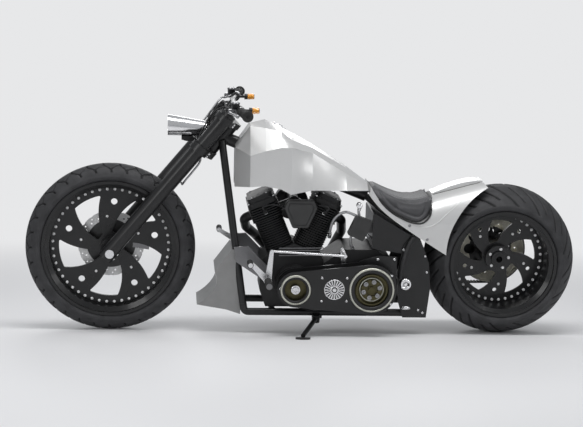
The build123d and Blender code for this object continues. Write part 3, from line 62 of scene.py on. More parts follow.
# The lean and the wheel centres come from the joints of the frame
rear_spin = joints["rear_wheel_spin"]
front_spin = joints["front_wheel_spin"]
lean = math.atan2(-rear_spin["axis"][2], rear_spin["axis"][1])
rear_place = [1000 * v for v in rear_spin["pos_m"]]
front_place = [1000 * v for v in front_spin["pos_m"]]
wheelbase = front_place[0] - rear_place[0]
rear_axle_z = rear_place[2] / math.cos(lean)
middle_y = rear_axle_z * math.sin(lean) - rear_place[1]
front_axle_z = front_place[2] / math.cos(lean)
middle_x = -rear_place[0]
REAR_HUB = np.array((0.0, 0.0, rear_axle_z))
FRONT_HUB = np.array((wheelbase, 0.0, front_axle_z))
steer_axis = np.array(joints["steering"]["axis"])
rake = math.atan2(-steer_axis[0], math.hypot(steer_axis[1], steer_axis[2]))
FORK_UP = np.array((-math.sin(rake), 0.0, math.cos(rake)))
FORK_AHEAD = np.array((math.cos(rake), 0.0, math.sin(rake)))
LEFT = np.array((0.0, 1.0, 0.0))

# Camera of the photograph, in the upright bike's frame: place, angles and focal length in pixels
CAMERA_PLACE = (1483.4, 7317.4, 2006.7)
CAMERA_YAW, CAMERA_PITCH, CAMERA_ROLL = 0.0757838, 0.1991290, 0.0266440
FOCAL_PIXELS = 1702.5
PHOTO_WIDTH = 583


def park(points):
    """Upright millimetres to the frame's metres: turned about X by the lean, then shifted."""
    p = np.asarray(points, float)
    c, s = math.cos(lean), math.sin(lean)
    x = p[..., 0] - middle_x
    y = p[..., 1] * c + p[..., 2] * s - middle_y
    z = -p[..., 1] * s + p[..., 2] * c
    return np.stack([x, y, z], -1) / 1000


def park_way(way):
    """A direction of the upright bike, turned by the lean."""
    w = np.asarray(way, float)
    c, s = math.cos(lean), math.sin(lean)
    return np.stack([w[..., 0], w[..., 1] * c + w[..., 2] * s, -w[..., 1] * s + w[..., 2] * c], -1)


# Meshes


def make_piece(name, shape, finish_name, body="chassis", smooth=True):
    """One object from upright vertices and a face array, parked, given its finish and set to ride on a body.

    A face that names a corner twice becomes a triangle.
    """
    mesh = bpy.data.meshes.new(name)
    vertices, faces = shape
    corners = [tuple(dict.fromkeys(f)) for f in np.asarray(faces).tolist()]
    mesh.from_pydata(park(vertices).tolist(), [], corners)
    mesh.validate()
    piece = bpy.data.objects.new(name, mesh)
    bpy.context.scene.collection.objects.link(piece)
    mesh.materials.append(finish(finish_name))
    mesh.polygons.foreach_set("use_smooth", np.full(len(mesh.polygons), smooth))
    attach(piece, body)
    return piece


def grid_faces(rows, columns, wrap_rows=False, wrap_columns=False):
    """Quads of a rows by columns grid, joined end to end along a wrapped direction."""
    r = np.arange(rows if wrap_rows else rows - 1)[:, None]
    c = np.arange(columns if wrap_columns else columns - 1)[None, :]
    r1, c1 = (r + 1) % rows, (c + 1) % columns
    return np.stack(
        [r * columns + c, r * columns + c1, r1 * columns + c1, r1 * columns + c], -1,
    ).reshape(-1, 4)


def axes_across(way):
    """Two unit vectors square to way and to each other."""
    w = np.asarray(way, float) / np.linalg.norm(way)
    helper = np.array((0.0, 0.0, 1.0)) if abs(w[2]) < 0.9 else np.array((1.0, 0.0, 0.0))
    first = np.cross(helper, w)
    first /= np.linalg.norm(first)
    return first, np.cross(w, first), w


def revolved(profile, centre, way, turns=48):
    """Surface of revolution: point(a, k) = centre + along_k way + radius_k (cos a u + sin a v)."""
    u, v, w = axes_across(way)
    p = np.asarray(profile, float)
    a = np.linspace(0, 2 * math.pi, turns, endpoint=False)[:, None, None]
    rim = np.cos(a) * u + np.sin(a) * v
    points = np.asarray(centre) + p[None, :, :1] * w + p[None, :, 1:] * rim
    return points.reshape(-1, 3), grid_faces(turns, len(p), wrap_rows=True)


def turned(profile, turns=16):
    """A surface of revolution about Z at the origin, made to be repeated."""
    return revolved(profile, (0, 0, 0), (0, 0, 1), turns)


def repeated(shape, spots, ways):
    """Copies of a shape made along +Z at the origin, one at each spot, its Z turned to each way."""
    vertices, faces = shape
    spots = np.asarray(spots, float).reshape(-1, 3)
    ways = np.broadcast_to(np.asarray(ways, float), spots.shape)
    ways = ways / np.linalg.norm(ways, axis=1, keepdims=True)
    helper = np.where(np.abs(ways[:, 2:]) < 0.9, [[0.0, 0.0, 1.0]], [[1.0, 0.0, 0.0]])
    u = np.cross(helper, ways)
    u /= np.linalg.norm(u, axis=1, keepdims=True)
    v = np.cross(ways, u)
    turn = np.stack([u, v, ways], 1)
    points = spots[:, None, :] + np.einsum("ki,nij->nkj", vertices, turn)
    shift = (np.arange(len(spots)) * len(vertices))[:, None, None]
    return points.reshape(-1, 3), (np.asarray(faces)[None] + shift).reshape(-1, len(faces[0]))


def placed(shape, pairs):
    """Copies of a shape, one at each pair of a spot and a way."""
    return repeated(shape, [spot for spot, _ in pairs], [way for _, way in pairs])


def joined(*shapes):
    """Several vertex and face arrays as one."""
    shift = 0
    vertices, faces = [], []
    for points, quads in shapes:
        vertices.append(points)
        faces.append(np.asarray(quads) + shift)
        shift += len(points)
    return np.concatenate(vertices), np.concatenate(faces)


def button_head(radius, height, turns=16):
    """A round-topped socket screw: dome profile, then the socket's wall and floor."""
    profile = [
        (-0.5, radius), (height * 0.3, radius), (height * 0.75, radius * 0.85), (height, radius * 0.6),
        (height, radius * 0.46), (height * 0.35, radius * 0.42), (height * 0.35, 0.01),
    ]
    return turned(profile, turns)


def hex_head(radius, height):
    """A hexagon screw head with a chamfered top: the profile turned in six steps."""
    profile = [(-0.5, radius), (height * 0.8, radius), (height, radius * 0.86), (height, 0.01)]
    return turned(profile, 6)


def tube(path, radius, sides=12, samples=None):
    """Round tube: point(s, a) = path(s) + r (cos a n + sin a b), with n kept square to a fixed helper."""
    p = smooth_path(path, samples) if samples else np.asarray(path, float)
    tangent = np.gradient(p, axis=0)
    tangent /= np.linalg.norm(tangent, axis=1, keepdims=True)
    span = p[-1] - p[0]
    spread = p - p.mean(0)
    helper = np.linalg.svd(spread)[2][-1] if len(p) > 2 else axes_across(span)[0]
    n = helper - (tangent @ helper)[:, None] * tangent
    n /= np.linalg.norm(n, axis=1, keepdims=True)
    b = np.cross(tangent, n)
    a = np.linspace(0, 2 * math.pi, sides, endpoint=False)
    r = np.broadcast_to(np.asarray(radius, float), (len(p),))
    ring = np.cos(a)[None, :, None] * n[:, None] + np.sin(a)[None, :, None] * b[:, None]
    points = p[:, None] + r[:, None, None] * ring
    body = grid_faces(len(p), sides, wrap_columns=True)[:, ::-1]
    ends = np.stack([p[0], p[-1]])
    base = len(p) * sides
    k = np.arange(sides)
    k1 = (k + 1) % sides
    start_cap = np.stack([np.full(sides, base), k1, k, k], -1)
    last = (len(p) - 1) * sides
    end_cap = np.stack([np.full(sides, base + 1), last + k, last + k1, last + k1], -1)
    return np.concatenate([points.reshape(-1, 3), ends]), np.concatenate([body, start_cap, end_cap])


def smooth_path(points, samples):
    """Catmull-Rom curve through the points: cubic blends of each four neighbours."""
    p = np.asarray(points, float)
    p = np.vstack([2 * p[0] - p[1], p, 2 * p[-1] - p[-2]])
    t = np.linspace(0, len(p) - 3 - 1e-9, samples)
    i = t.astype(int)
    f = (t - i)[:, None]
    a, b, c, d = p[i], p[i + 1], p[i + 2], p[i + 3]
    return 0.5 * (2 * b + (c - a) * f + (2 * a - 5 * b + 4 * c - d) * f**2 + (3 * b - a - 3 * c + d) * f**3)


def ring_spots(centre, radius, count, start_deg=0.0):
    """Points evenly round a wheel's axle, the first one turned from up by start_deg."""
    a = np.radians(start_deg) + np.linspace(0, 2 * math.pi, count, endpoint=False)
    circle = np.stack([-np.sin(a), np.zeros(count), np.cos(a)], -1)
    return np.asarray(centre) + radius * circle


def slab_mesh(outline, y0, y1):
    """Prism of a side outline (x, z) between two Y values, its two faces fanned from the middle."""
    o = np.asarray(outline, float)
    n = len(o)
    low = np.column_stack([o[:, 0], np.full(n, y0), o[:, 1]])
    high = np.column_stack([o[:, 0], np.full(n, y1), o[:, 1]])
    mid = o.mean(0)
    points = np.vstack([low, high, [(mid[0], y0, mid[1]), (mid[0], y1, mid[1])]])
    k = np.arange(n)
    k1 = (k + 1) % n
    walls = np.stack([k, k1, k1 + n, k + n], -1)
    floor = np.stack([np.full(n, 2 * n), k1, k, k], -1)
    roof = np.stack([np.full(n, 2 * n + 1), k + n, k1 + n, k1 + n], -1)
    return points, np.concatenate([walls, floor, roof])


def stadium(a, ra, b, rb, steps=24):
    """Closed belt line round two pulley centres: two arcs and the tangents between them, evenly wound."""
    a, b = np.asarray(a, float), np.asarray(b, float)
    span = np.linalg.norm(b - a)
    along = (b - a) / span
    across = np.array((-along[1], along[0]))
    tilt = math.asin((ra - rb) / span)
    first = np.linspace(math.pi / 2 - tilt, 1.5 * math.pi + tilt, steps)
    second = np.linspace(-math.pi / 2 + tilt, math.pi / 2 - tilt, steps)
    left = a + ra * (np.cos(first)[:, None] * along + np.sin(first)[:, None] * across)
    right = b + rb * (np.cos(second)[:, None] * along + np.sin(second)[:, None] * across)
    return np.vstack([left, right])


def evenly(line, count, closed=True):
    """The line sampled again at even steps along its length."""
    p = np.vstack([line, line[:1]]) if closed else np.asarray(line, float)
    length = np.concatenate([[0], np.cumsum(np.linalg.norm(np.diff(p, axis=0), axis=1))])
    s = np.linspace(0, length[-1], count, endpoint=not closed)
    return np.stack([np.interp(s, length, p[:, k]) for k in range(p.shape[1])], -1), length[-1]


# Finishes


def feed(tree, made, values=(), links=()):
    """A node's socket values and the links into it, by socket."""
    for key, value in dict(values).items():
        made.inputs[key].default_value = value
    for key, value in dict(links).items():
        tree.links.new(value, made.inputs[key])
    return made


def node(tree, kind, values=(), links=(), **settings):
    """A new shader node with its settings, socket values and links."""
    made = tree.nodes.new("ShaderNode" + kind)
    for key, value in settings.items():
        setattr(made, key, value)
    return feed(tree, made, values, links)


def new_finish(name):
    """A material with its node tree, principled shader and object coordinates."""
    m = bpy.data.materials.new(name)
    m.use_nodes = True
    tree = m.node_tree
    return m, tree, tree.nodes["Principled BSDF"], node(tree, "TexCoord").outputs["Object"]


def noise_value(tree, where, scale, detail=3.0):
    """Plain noise value."""
    return node(tree, "TexNoise", {"Scale": scale, "Detail": detail}, {"Vector": where}).outputs["Fac"]


def mottle(tree, where, scale, low, high, detail=4.0):
    """Noise mapped to a colour between low and high, and the noise itself."""
    noise = noise_value(tree, where, scale, detail)
    ramp = node(tree, "ValToRGB", links={"Fac": noise})
    for stop, place, colour in zip(ramp.color_ramp.elements, (0.32, 0.68), (low, high)):
        stop.position = place
        stop.color = (*colour, 1)
    return ramp.outputs["Color"], noise


def shade(colour, share):
    """A colour made darker or lighter by a share."""
    return tuple(min(1.0, c * share) for c in colour)


def ranged(tree, value, low, high):
    """A 0 to 1 value mapped to low to high."""
    return node(tree, "MapRange", {"To Min": low, "To Max": high}, {"Value": value}).outputs["Result"]


def bumped(tree, shader, height, strength, distance):
    """A bump from a height value."""
    bump = node(tree, "Bump", {"Strength": strength, "Distance": distance}, {"Height": height})
    feed(tree, shader, links={"Normal": bump.outputs["Normal"]})


def coated_finish(name, colour, metallic, rough, coat=0.0, spread=0.12, grain=900.0, bump=0.04, patch=14.0,
                  level=0.5):
    """Paint, powder coat or cast metal: slow colour drift, fine grain in roughness and in a slight bump."""
    m, tree, shader, where = new_finish(name)
    tint, _ = mottle(tree, where, patch, shade(colour, 1 - spread), shade(colour, 1 + spread))
    fine = noise_value(tree, where, grain)
    gloss = ranged(tree, noise_value(tree, where, patch * 3), max(0.02, rough - 0.08), rough + 0.08)
    plain = {"Metallic": metallic, "Coat Weight": coat, "Coat Roughness": 0.08, "Specular IOR Level": level}
    feed(tree, shader, plain, {"Base Color": tint, "Roughness": gloss})
    bumped(tree, shader, fine, bump, 0.0004)
    return m


def brushed_finish(name, colour, rough, stretch=(1.0, 40.0, 40.0), scale=60.0, bump=0.05):
    """Brushed or turned metal: noise drawn out along one way, in colour, roughness and bump."""
    m, tree, shader, where = new_finish(name)
    drawn = node(tree, "Mapping", {"Scale": stretch}, {"Vector": where}).outputs["Vector"]
    tint, grain = mottle(tree, drawn, scale, shade(colour, 0.86), shade(colour, 1.08), 5)
    gloss = ranged(tree, grain, max(0.03, rough - 0.1), rough + 0.12)
    feed(tree, shader, {"Metallic": 1.0}, {"Base Color": tint, "Roughness": gloss})
    bumped(tree, shader, grain, bump, 0.0003)
    return m


def rubber_finish(name, colour, rough=0.72, bump=0.25, scale=420.0):
    """Rubber: dusty colour drift and a fine pebble bump."""
    m, tree, shader, where = new_finish(name)
    tint, _ = mottle(tree, where, 22.0, shade(colour, 0.75), shade(colour, 1.35))
    fine = noise_value(tree, where, scale, 4.0)
    gloss = ranged(tree, fine, rough - 0.1, min(1.0, rough + 0.12))
    feed(tree, shader, {"Specular IOR Level": 0.35}, {"Base Color": tint, "Roughness": gloss})
    bumped(tree, shader, fine, bump, 0.0006)
    return m


def tread_finish(name, colour):
    """Tyre rubber: as other rubber, with painted shade in the grooves: darker by the tread's own groove attribute.
    """
    m = rubber_finish(name, colour, 0.6, 0.2)
    tree = m.node_tree
    shader = tree.nodes["Principled BSDF"]
    cut = node(tree, "Attribute", attribute_name="groove").outputs["Fac"]
    plain = shader.inputs["Base Color"].links[0].from_socket
    # Painted shade: the groove attribute mixes the rubber towards near black inside the grooves.
    mix = node(tree, "Mix", {"B": (0.003, 0.003, 0.0035, 1)}, {"A": plain, "Factor": cut}, data_type="RGBA")
    feed(tree, shader, links={"Base Color": mix.outputs["Result"]})
    return m


def leather_finish(name, colour):
    """Leather: cells of one size give the grain, and worn places are lighter and smoother."""
    m, tree, shader, where = new_finish(name)
    cells = node(tree, "TexVoronoi", {"Scale": 260.0}, {"Vector": where}, feature="DISTANCE_TO_EDGE")
    wear, worn = mottle(tree, where, 9.0, shade(colour, 0.72), shade(colour, 1.3))
    grain, _ = mottle(tree, where, 300.0, shade(colour, 0.9), shade(colour, 1.1))
    mix = node(tree, "Mix", {"Factor": 0.6}, {"A": wear, "B": grain}, data_type="RGBA", blend_type="MULTIPLY")
    height = node(tree, "MapRange", {"From Max": 0.18}, {"Value": cells.outputs["Distance"]})
    bumped(tree, shader, height.outputs["Result"], 0.35, 0.0007)
    gloss = ranged(tree, worn, 0.62, 0.42)
    feed(tree, shader, {"Sheen Weight": 0.12}, {"Base Color": mix.outputs["Result"], "Roughness": gloss})
    return m


def lens_finish(name, colour, rough, transmission):
    """Clear or coloured lens with moulded ribs as a wave bump."""
    m, tree, shader, where = new_finish(name)
    ribs = node(tree, "TexWave", {"Scale": 90.0}, {"Vector": where}).outputs["Fac"]
    plain = {"Base Color": (*colour, 1), "Transmission Weight": transmission}
    feed(tree, shader, plain, {"Roughness": ranged(tree, ribs, rough, rough + 0.06)})
    bumped(tree, shader, ribs, 0.15, 0.0004)
    return m


def braid_finish(name, colour):
    """Braided hose: noise of wire size in colour, roughness and bump."""
    m, tree, shader, where = new_finish(name)
    tint, fine = mottle(tree, where, 700.0, shade(colour, 0.5), shade(colour, 1.3))
    feed(tree, shader, {"Metallic": 0.9}, {"Base Color": tint, "Roughness": ranged(tree, fine, 0.3, 0.55)})
    bumped(tree, shader, fine, 0.5, 0.0006)
    return m


def disc_finish(name, hub, steel, carrier, split_radius):
    """Brake disc: bright ring outside a dark carrier, told apart by the distance from the axle."""
    m, tree, shader, where = new_finish(name)
    from_hub = node(tree, "VectorMath", {1: park(hub).tolist()}, {0: where}, operation="SUBTRACT")
    across = node(tree, "VectorMath", {1: park_way(LEFT).tolist()}, {0: from_hub.outputs["Vector"]},
                  operation="CROSS_PRODUCT")
    radius = node(
        tree, "VectorMath", links={0: across.outputs["Vector"]}, operation="LENGTH",
    ).outputs["Value"]
    limits = {"From Min": (split_radius - 0.4) / 1000, "From Max": (split_radius + 0.4) / 1000}
    edge = node(tree, "MapRange", limits, {"Value": radius}).outputs["Result"]
    rings = node(tree, "Math", {1: 2600.0}, {0: radius}, operation="MULTIPLY").outputs["Value"]
    turning = node(tree, "Math", links={0: rings}, operation="SINE").outputs["Value"]
    bright, _ = mottle(tree, where, 60.0, shade(steel, 0.85), shade(steel, 1.05))
    dark, _ = mottle(tree, where, 40.0, shade(carrier, 0.8), shade(carrier, 1.2))
    mix = node(tree, "Mix", links={"Factor": edge, "A": dark, "B": bright}, data_type="RGBA")
    feed(tree, shader, links={
        "Base Color": mix.outputs["Result"],
        "Metallic": ranged(tree, edge, 0.0, 0.25),
        "Roughness": ranged(tree, noise_value(tree, where, 200.0), 0.25, 0.4),
    })
    bumped(tree, shader, turning, 0.08, 0.0002)
    return m


FINISHES = {}


def finish(name):
    """The named finish of this bike, made the first time it is asked for."""
    paint = bpy.context.scene.chopper_paint
    if name in FINISHES:
        return FINISHES[name]
    makers = {
        "satin_black": lambda: coated_finish(
            name, (0.009, 0.009, 0.0095), 0.0, 0.36, 0.12, 0.2, level=0.38,
        ),
        "wheel_black": lambda: coated_finish(name, (0.011, 0.011, 0.0115), 0.2, 0.3, 0.2, 0.2, level=0.4),
        "cast_black": lambda: coated_finish(
            name, (0.012, 0.012, 0.0125), 0.0, 0.5, 0.0, 0.25, 600, 0.3, level=0.35,
        ),
        "grey_cast": lambda: coated_finish(
            name, (0.038, 0.038, 0.038), 0.2, 0.45, 0.1, 0.2, 600, 0.2, level=0.4,
        ),
        "bracket_grey": lambda: brushed_finish(name, (0.2, 0.2, 0.205), 0.34, (6, 30, 30), 30, 0.03),
        "silver_paint": lambda: coated_finish(
            name, tuple(paint.body_colour), 0.45, 0.34, 0.5, 0.03, 2600, 0.01, 5,
        ),
        "chin_paint": lambda: coated_finish(
            name, shade(tuple(paint.body_colour), 0.42), 0.5, 0.42, 0.2, 0.06, 2600,
        ),
        "polished": lambda: brushed_finish(name, (0.86, 0.86, 0.87), 0.16, (8, 40, 40), 18, 0.02),
        "bright_screws": lambda: coated_finish(name, (0.95, 0.95, 0.95), 0.15, 0.25, 0.3, 0.05, 900, 0.02),
        "bright_steel": lambda: brushed_finish(name, (0.72, 0.72, 0.73), 0.24, (10, 10, 10), 40, 0.03),
        "grey_steel": lambda: brushed_finish(name, (0.3, 0.3, 0.31), 0.3, (12, 12, 12), 40, 0.04),
        "pulley_ring": lambda: brushed_finish(name, (0.52, 0.52, 0.46), 0.36, (30, 30, 30), 50, 0.05),
        "brass_dark": lambda: brushed_finish(name, (0.085, 0.077, 0.042), 0.4, (20, 20, 20), 40, 0.06),
        "tyre_rubber": lambda: tread_finish(name, (0.03, 0.03, 0.032)),
        "grip_rubber": lambda: rubber_finish(name, (0.02, 0.02, 0.02), 0.65, 0.3, 300),
        "belt_rubber": lambda: rubber_finish(name, (0.016, 0.016, 0.016), 0.6, 0.2, 500),
        "hose_rubber": lambda: rubber_finish(name, (0.02, 0.02, 0.021), 0.5, 0.15, 260),
        "seat_leather": lambda: leather_finish(name, tuple(paint.seat_colour)),
        "amber_lens": lambda: lens_finish(name, (1.0, 0.42, 0.05), 0.12, 0.35),
        "clear_lens": lambda: lens_finish(name, (0.95, 0.97, 1.0), 0.03, 0.95),
        "braided_hose": lambda: braid_finish(name, (0.45, 0.45, 0.46)),
        "front_disc": lambda: disc_finish(name, FRONT_HUB, (0.7, 0.7, 0.7), (0.02, 0.02, 0.02), 108),
        "rear_disc": lambda: disc_finish(name, REAR_HUB, (0.9, 0.87, 0.74), (0.02, 0.02, 0.02), 100),
    }
    FINISHES[name] = makers[name]()
    return FINISHES[name]


NODE_FINISHES = {
    "tyre_rubber": ("front_tyre", "rear_tyre"),
    "wheel_black": ("front_rim", "rear_rim", "front_spider", "rear_spider"),
    "front_disc": ("front_disc",),
    "rear_disc": ("rear_pulley",),
    "bright_steel": ("front_axle", "pushrod_tubes", "brake_pedal", "shift_linkage"),
    "bracket_grey": ("left_foot_control", "right_foot_control", "front_caliper"),
    "silver_paint": ("tank", "tail"),
    "chin_paint": ("chin_spoiler",),
    "seat_leather": ("seat",),
    "grip_rubber": ("grips",),
    "belt_rubber": ("primary_belt", "drive_belt"),
    "polished": ("headlight",),
    "brass_dark": ("primary_pulleys",),
    "grey_steel": ("levers",),
    "cast_black": ("crankcase", "cylinders", "gearbox", "rocker_boxes"),
    "grey_cast": ("horn_cover", "electric_box"),
}


# Settings


class ChopperPaint(bpy.types.PropertyGroup):
    """Colours that a user would change"""

    body_colour: bpy.props.FloatVectorProperty(
        name="Body colour", description="Silver white of the tank and the tail", subtype="COLOR",
        size=3, min=0, max=1, default=(0.6, 0.6, 0.595),
    )
    seat_colour: bpy.props.FloatVectorProperty(
        name="Seat colour", description="Grey of the leather", subtype="COLOR",
        size=3, min=0, max=1, default=(0.115, 0.115, 0.122),
    )
    floor_colour: bpy.props.FloatVectorProperty(
        name="Floor colour", description="Pale studio floor", subtype="COLOR",
        size=3, min=0, max=1, default=(0.78, 0.78, 0.79),
    )


class ChopperSizes(bpy.types.PropertyGroup):
    """Sizes of the trim that a user would change"""

    front_tread_blocks: bpy.props.IntProperty(
        name="Front tread repeats", description="Groove pairs round the front tyre",
        default=32, min=12, max=90
    )
    rear_tread_blocks: bpy.props.IntProperty(
        name="Rear tread repeats", description="Groove pairs round the rear tyre", default=16, min=12, max=90
    )
    groove_depth: bpy.props.FloatProperty(
        name="Groove depth", description="Depth of the tread grooves", default=0.0055, min=0.001, max=0.008,
        unit="LENGTH",
    )
    rim_screws_front: bpy.props.IntProperty(
        name="Front rim screws", description="Screws round the ring", default=48)
    rim_screws_rear: bpy.props.IntProperty(
        name="Rear rim screws", description="Screws round the ring", default=40)


# Pieces


def groove(gap, width):
    """1 inside a groove's width and 0 outside it, with sloped walls; gap is the way to its centre line."""
    return np.clip(1.5 - np.abs(gap) / width, 0, 1)


def wrapped(phase):
    """Distance of a phase from the nearest whole number."""
    return (phase + 0.5) % 1 - 0.5


def front_tread(phase, s):
    """A zigzag line on both sides of the crown, half a repeat apart, with a slanted cut at each corner."""
    side = np.abs(s)
    base = phase + 0.5 * (s > 0)
    line = 0.4 + 0.15 * (4 * np.abs(wrapped(base)) - 1)
    zigzag = groove(side - line, 0.028)
    inner_cut = groove(wrapped(base - 0.3 * side), 0.055) * (side > 0.06) * (side < 0.26)
    outer_cut = groove(wrapped(base + 0.5 - 0.35 * (side - 0.55)), 0.055) * (side > 0.53) * (side < 0.72)
    return np.maximum(zigzag, np.maximum(inner_cut, outer_cut))


def rear_tread(phase, s):
    """Long curved V cuts, shorter ones between them, and a zigzag line round the crown."""
    side = np.abs(s)
    base = phase + 0.5 * (s > 0)
    bow = 1.15 * side ** 1.35
    long_cut = groove(wrapped(base - bow), 0.05) * (side > 0.05) * (side < 0.9)
    short_cut = groove(wrapped(base + 0.5 - bow), 0.042) * (side > 0.26) * (side < 0.74)
    zigzag = 0.045 * (np.abs(wrapped(phase)) * 4 - 1)
    middle = groove(s - zigzag, 0.02)
    return np.maximum(np.maximum(long_cut, short_cut), middle * 0.9)


def tyre_surface(hub, profile, crown_share, repeats, depth, tread, turns):
    """Tyre skin and its groove values: point(a, s) = turn(a) (profile(s) + cut(a, s) inward(s)).

    cut(a, s) = depth tread(a repeats, s) and turn(a) is a turn by a round the axle, with a from 0 to 1
    round the tyre and s from -1 to 1 across the crown.
    """
    p, _ = evenly(profile, 112, closed=False)
    t = np.linspace(-1, 1, len(p))
    s = np.clip(t / crown_share, -1.2, 1.2)[None]
    a = np.linspace(0, 1, turns, endpoint=False)[:, None]
    cut = depth * tread(a * repeats, s) * (np.abs(s) < 1)
    angle = 2 * math.pi * a
    circle = np.concatenate([-np.sin(angle), np.zeros_like(angle), np.cos(angle)], 1)
    ahead = np.gradient(p, axis=0)
    inward = np.stack([ahead[:, 1], -ahead[:, 0]], -1)
    inward /= np.linalg.norm(inward, axis=1, keepdims=True)
    inward *= -np.sign(inward[len(p) // 2, 1])
    ring = p[None] + cut[..., None] * inward[None]
    points = hub + ring[..., :1] * LEFT + ring[..., 1:] * circle[:, None]
    return points.reshape(-1, 3), grid_faces(turns, len(p), wrap_rows=True), (cut / depth).ravel()


def arc_through(a, b, c, count):
    """Points of the circle arc from a through b to c."""
    a, b, c = (np.asarray(v, float) for v in (a, b, c))
    d = 2 * (a[0] * (b[1] - c[1]) + b[0] * (c[1] - a[1]) + c[0] * (a[1] - b[1]))
    sq = [v @ v for v in (a, b, c)]
    ux = (sq[0] * (b[1] - c[1]) + sq[1] * (c[1] - a[1]) + sq[2] * (a[1] - b[1])) / d
    uy = (sq[0] * (c[0] - b[0]) + sq[1] * (a[0] - c[0]) + sq[2] * (b[0] - a[0])) / d
    centre = np.array((ux, uy))
    ang = [math.atan2(*(v - centre)[::-1]) for v in (a, b, c)]
    turn = (ang[2] - ang[0]) % (2 * math.pi)
    if (ang[1] - ang[0]) % (2 * math.pi) > turn:
        turn -= 2 * math.pi
    sweep = ang[0] + np.linspace(0, turn, count)
    r = np.linalg.norm(a - centre)
    return centre + r * np.stack([np.cos(sweep), np.sin(sweep)], -1)


FRONT_TYRE_RADIUS, FRONT_CROWN, FRONT_BEAD, FRONT_RIM_HALF = 370.0, 68.0, 292.0, 52.0
REAR_TYRE_RADIUS, REAR_CROWN, REAR_BEAD, REAR_RIM_HALF = 333.5, 190.0, 229.0, 135.0


def front_tyre_profile():
    """Half-round crown, then each wall back to the bead, as in the frame."""
    mid = FRONT_TYRE_RADIUS - FRONT_CROWN
    half = FRONT_CROWN - 5
    edge = mid + math.sqrt(FRONT_CROWN**2 - half**2)
    bead = (FRONT_RIM_HALF - 2, mid - 2)
    crown = arc_through((-half, edge), (0, FRONT_TYRE_RADIUS), (half, edge), 40)
    wall = arc_through((half, edge), (half, mid + 5), bead, 12)
    other = wall[::-1] * (-1, 1)
    inner = np.array([(FRONT_RIM_HALF - 2, FRONT_BEAD)])
    return np.vstack([inner * (-1, 1), other, crown[1:-1], wall, inner])


def rear_tyre_profile():
    """Wide crown of a large radius, rounded shoulders and short walls."""
    half = 142.0
    edge = REAR_TYRE_RADIUS - REAR_CROWN + math.sqrt(REAR_CROWN**2 - half**2)
    bead = (REAR_RIM_HALF - 2, REAR_BEAD + 10)
    crown = arc_through((-half, edge), (0, REAR_TYRE_RADIUS), (half, edge), 60)
    wall = arc_through((half, edge), (150, 256), bead, 12)
    inner = np.array([(REAR_RIM_HALF - 2, REAR_BEAD)])
    return np.vstack([inner * (-1, 1), wall[::-1] * (-1, 1), crown[1:-1], wall, inner])


class CHOPPER_OT_tyres(bpy.types.Operator):
    """Both tyres with their grooved treads"""

    bl_idname = "chopper.tyres"
    bl_label = "Tyres"

    def execute(self, context):
        sizes = context.scene.chopper_sizes
        depth = sizes.groove_depth * 1000
        front = tyre_surface(
            FRONT_HUB, front_tyre_profile(), 0.74, sizes.front_tread_blocks, depth, front_tread, 884,
        )
        rear = tyre_surface(
            REAR_HUB, rear_tyre_profile(), 0.86, sizes.rear_tread_blocks, depth, rear_tread, 880,
        )
        for name, shape, body in (("front_tread", front, "front_wheel"), ("rear_tread", rear, "rear_wheel")):
            piece = make_piece(name, shape[:2], "tyre_rubber", body)
            # The groove values also drive the painted groove shade of the tyre finish.
            cut = piece.data.attributes.new("groove", "FLOAT", "POINT")
            cut.data.foreach_set("value", shape[2])
            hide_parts(name.replace("tread", "tyre"))
        return {"FINISHED"}


class CHOPPER_OT_wheel_screws(bpy.types.Operator):
    """Bright screws round both rims and hubs"""

    bl_idname = "chopper.wheel_screws"
    bl_label = "Wheel screws"

    def execute(self, context):
        sizes = context.scene.chopper_sizes
        face = -14.6
        screw = button_head(6.6, 5.6)
        front = [
            repeated(screw, ring_spots(FRONT_HUB + LEFT * face, 253, sizes.rim_screws_front, 3.75), LEFT)
        ]
        front.append(repeated(button_head(6.0, 6.0), ring_spots(FRONT_HUB + LEFT * face, 132, 5, -7), LEFT))
        make_piece("front_rim_screws", joined(*front), "bright_screws", "front_wheel")
        rear = [repeated(screw, ring_spots(REAR_HUB + LEFT * face, 195, sizes.rim_screws_rear, 4.5), LEFT)]
        rear.append(repeated(button_head(7.0, 6.0), ring_spots(REAR_HUB + LEFT * 20, 44, 5, 10), LEFT))
        rear.append(repeated(button_head(6.5, 6.0), ring_spots(REAR_HUB + LEFT * face, 124, 5, 31), LEFT))
        make_piece("rear_rim_screws", joined(*rear), "bright_screws", "rear_wheel")
        return {"FINISHED"}


# Centres (x, z) of the two primary pulleys
CRANK = (919.0, 238.0)
CLUTCH = (590.0, 240.0)


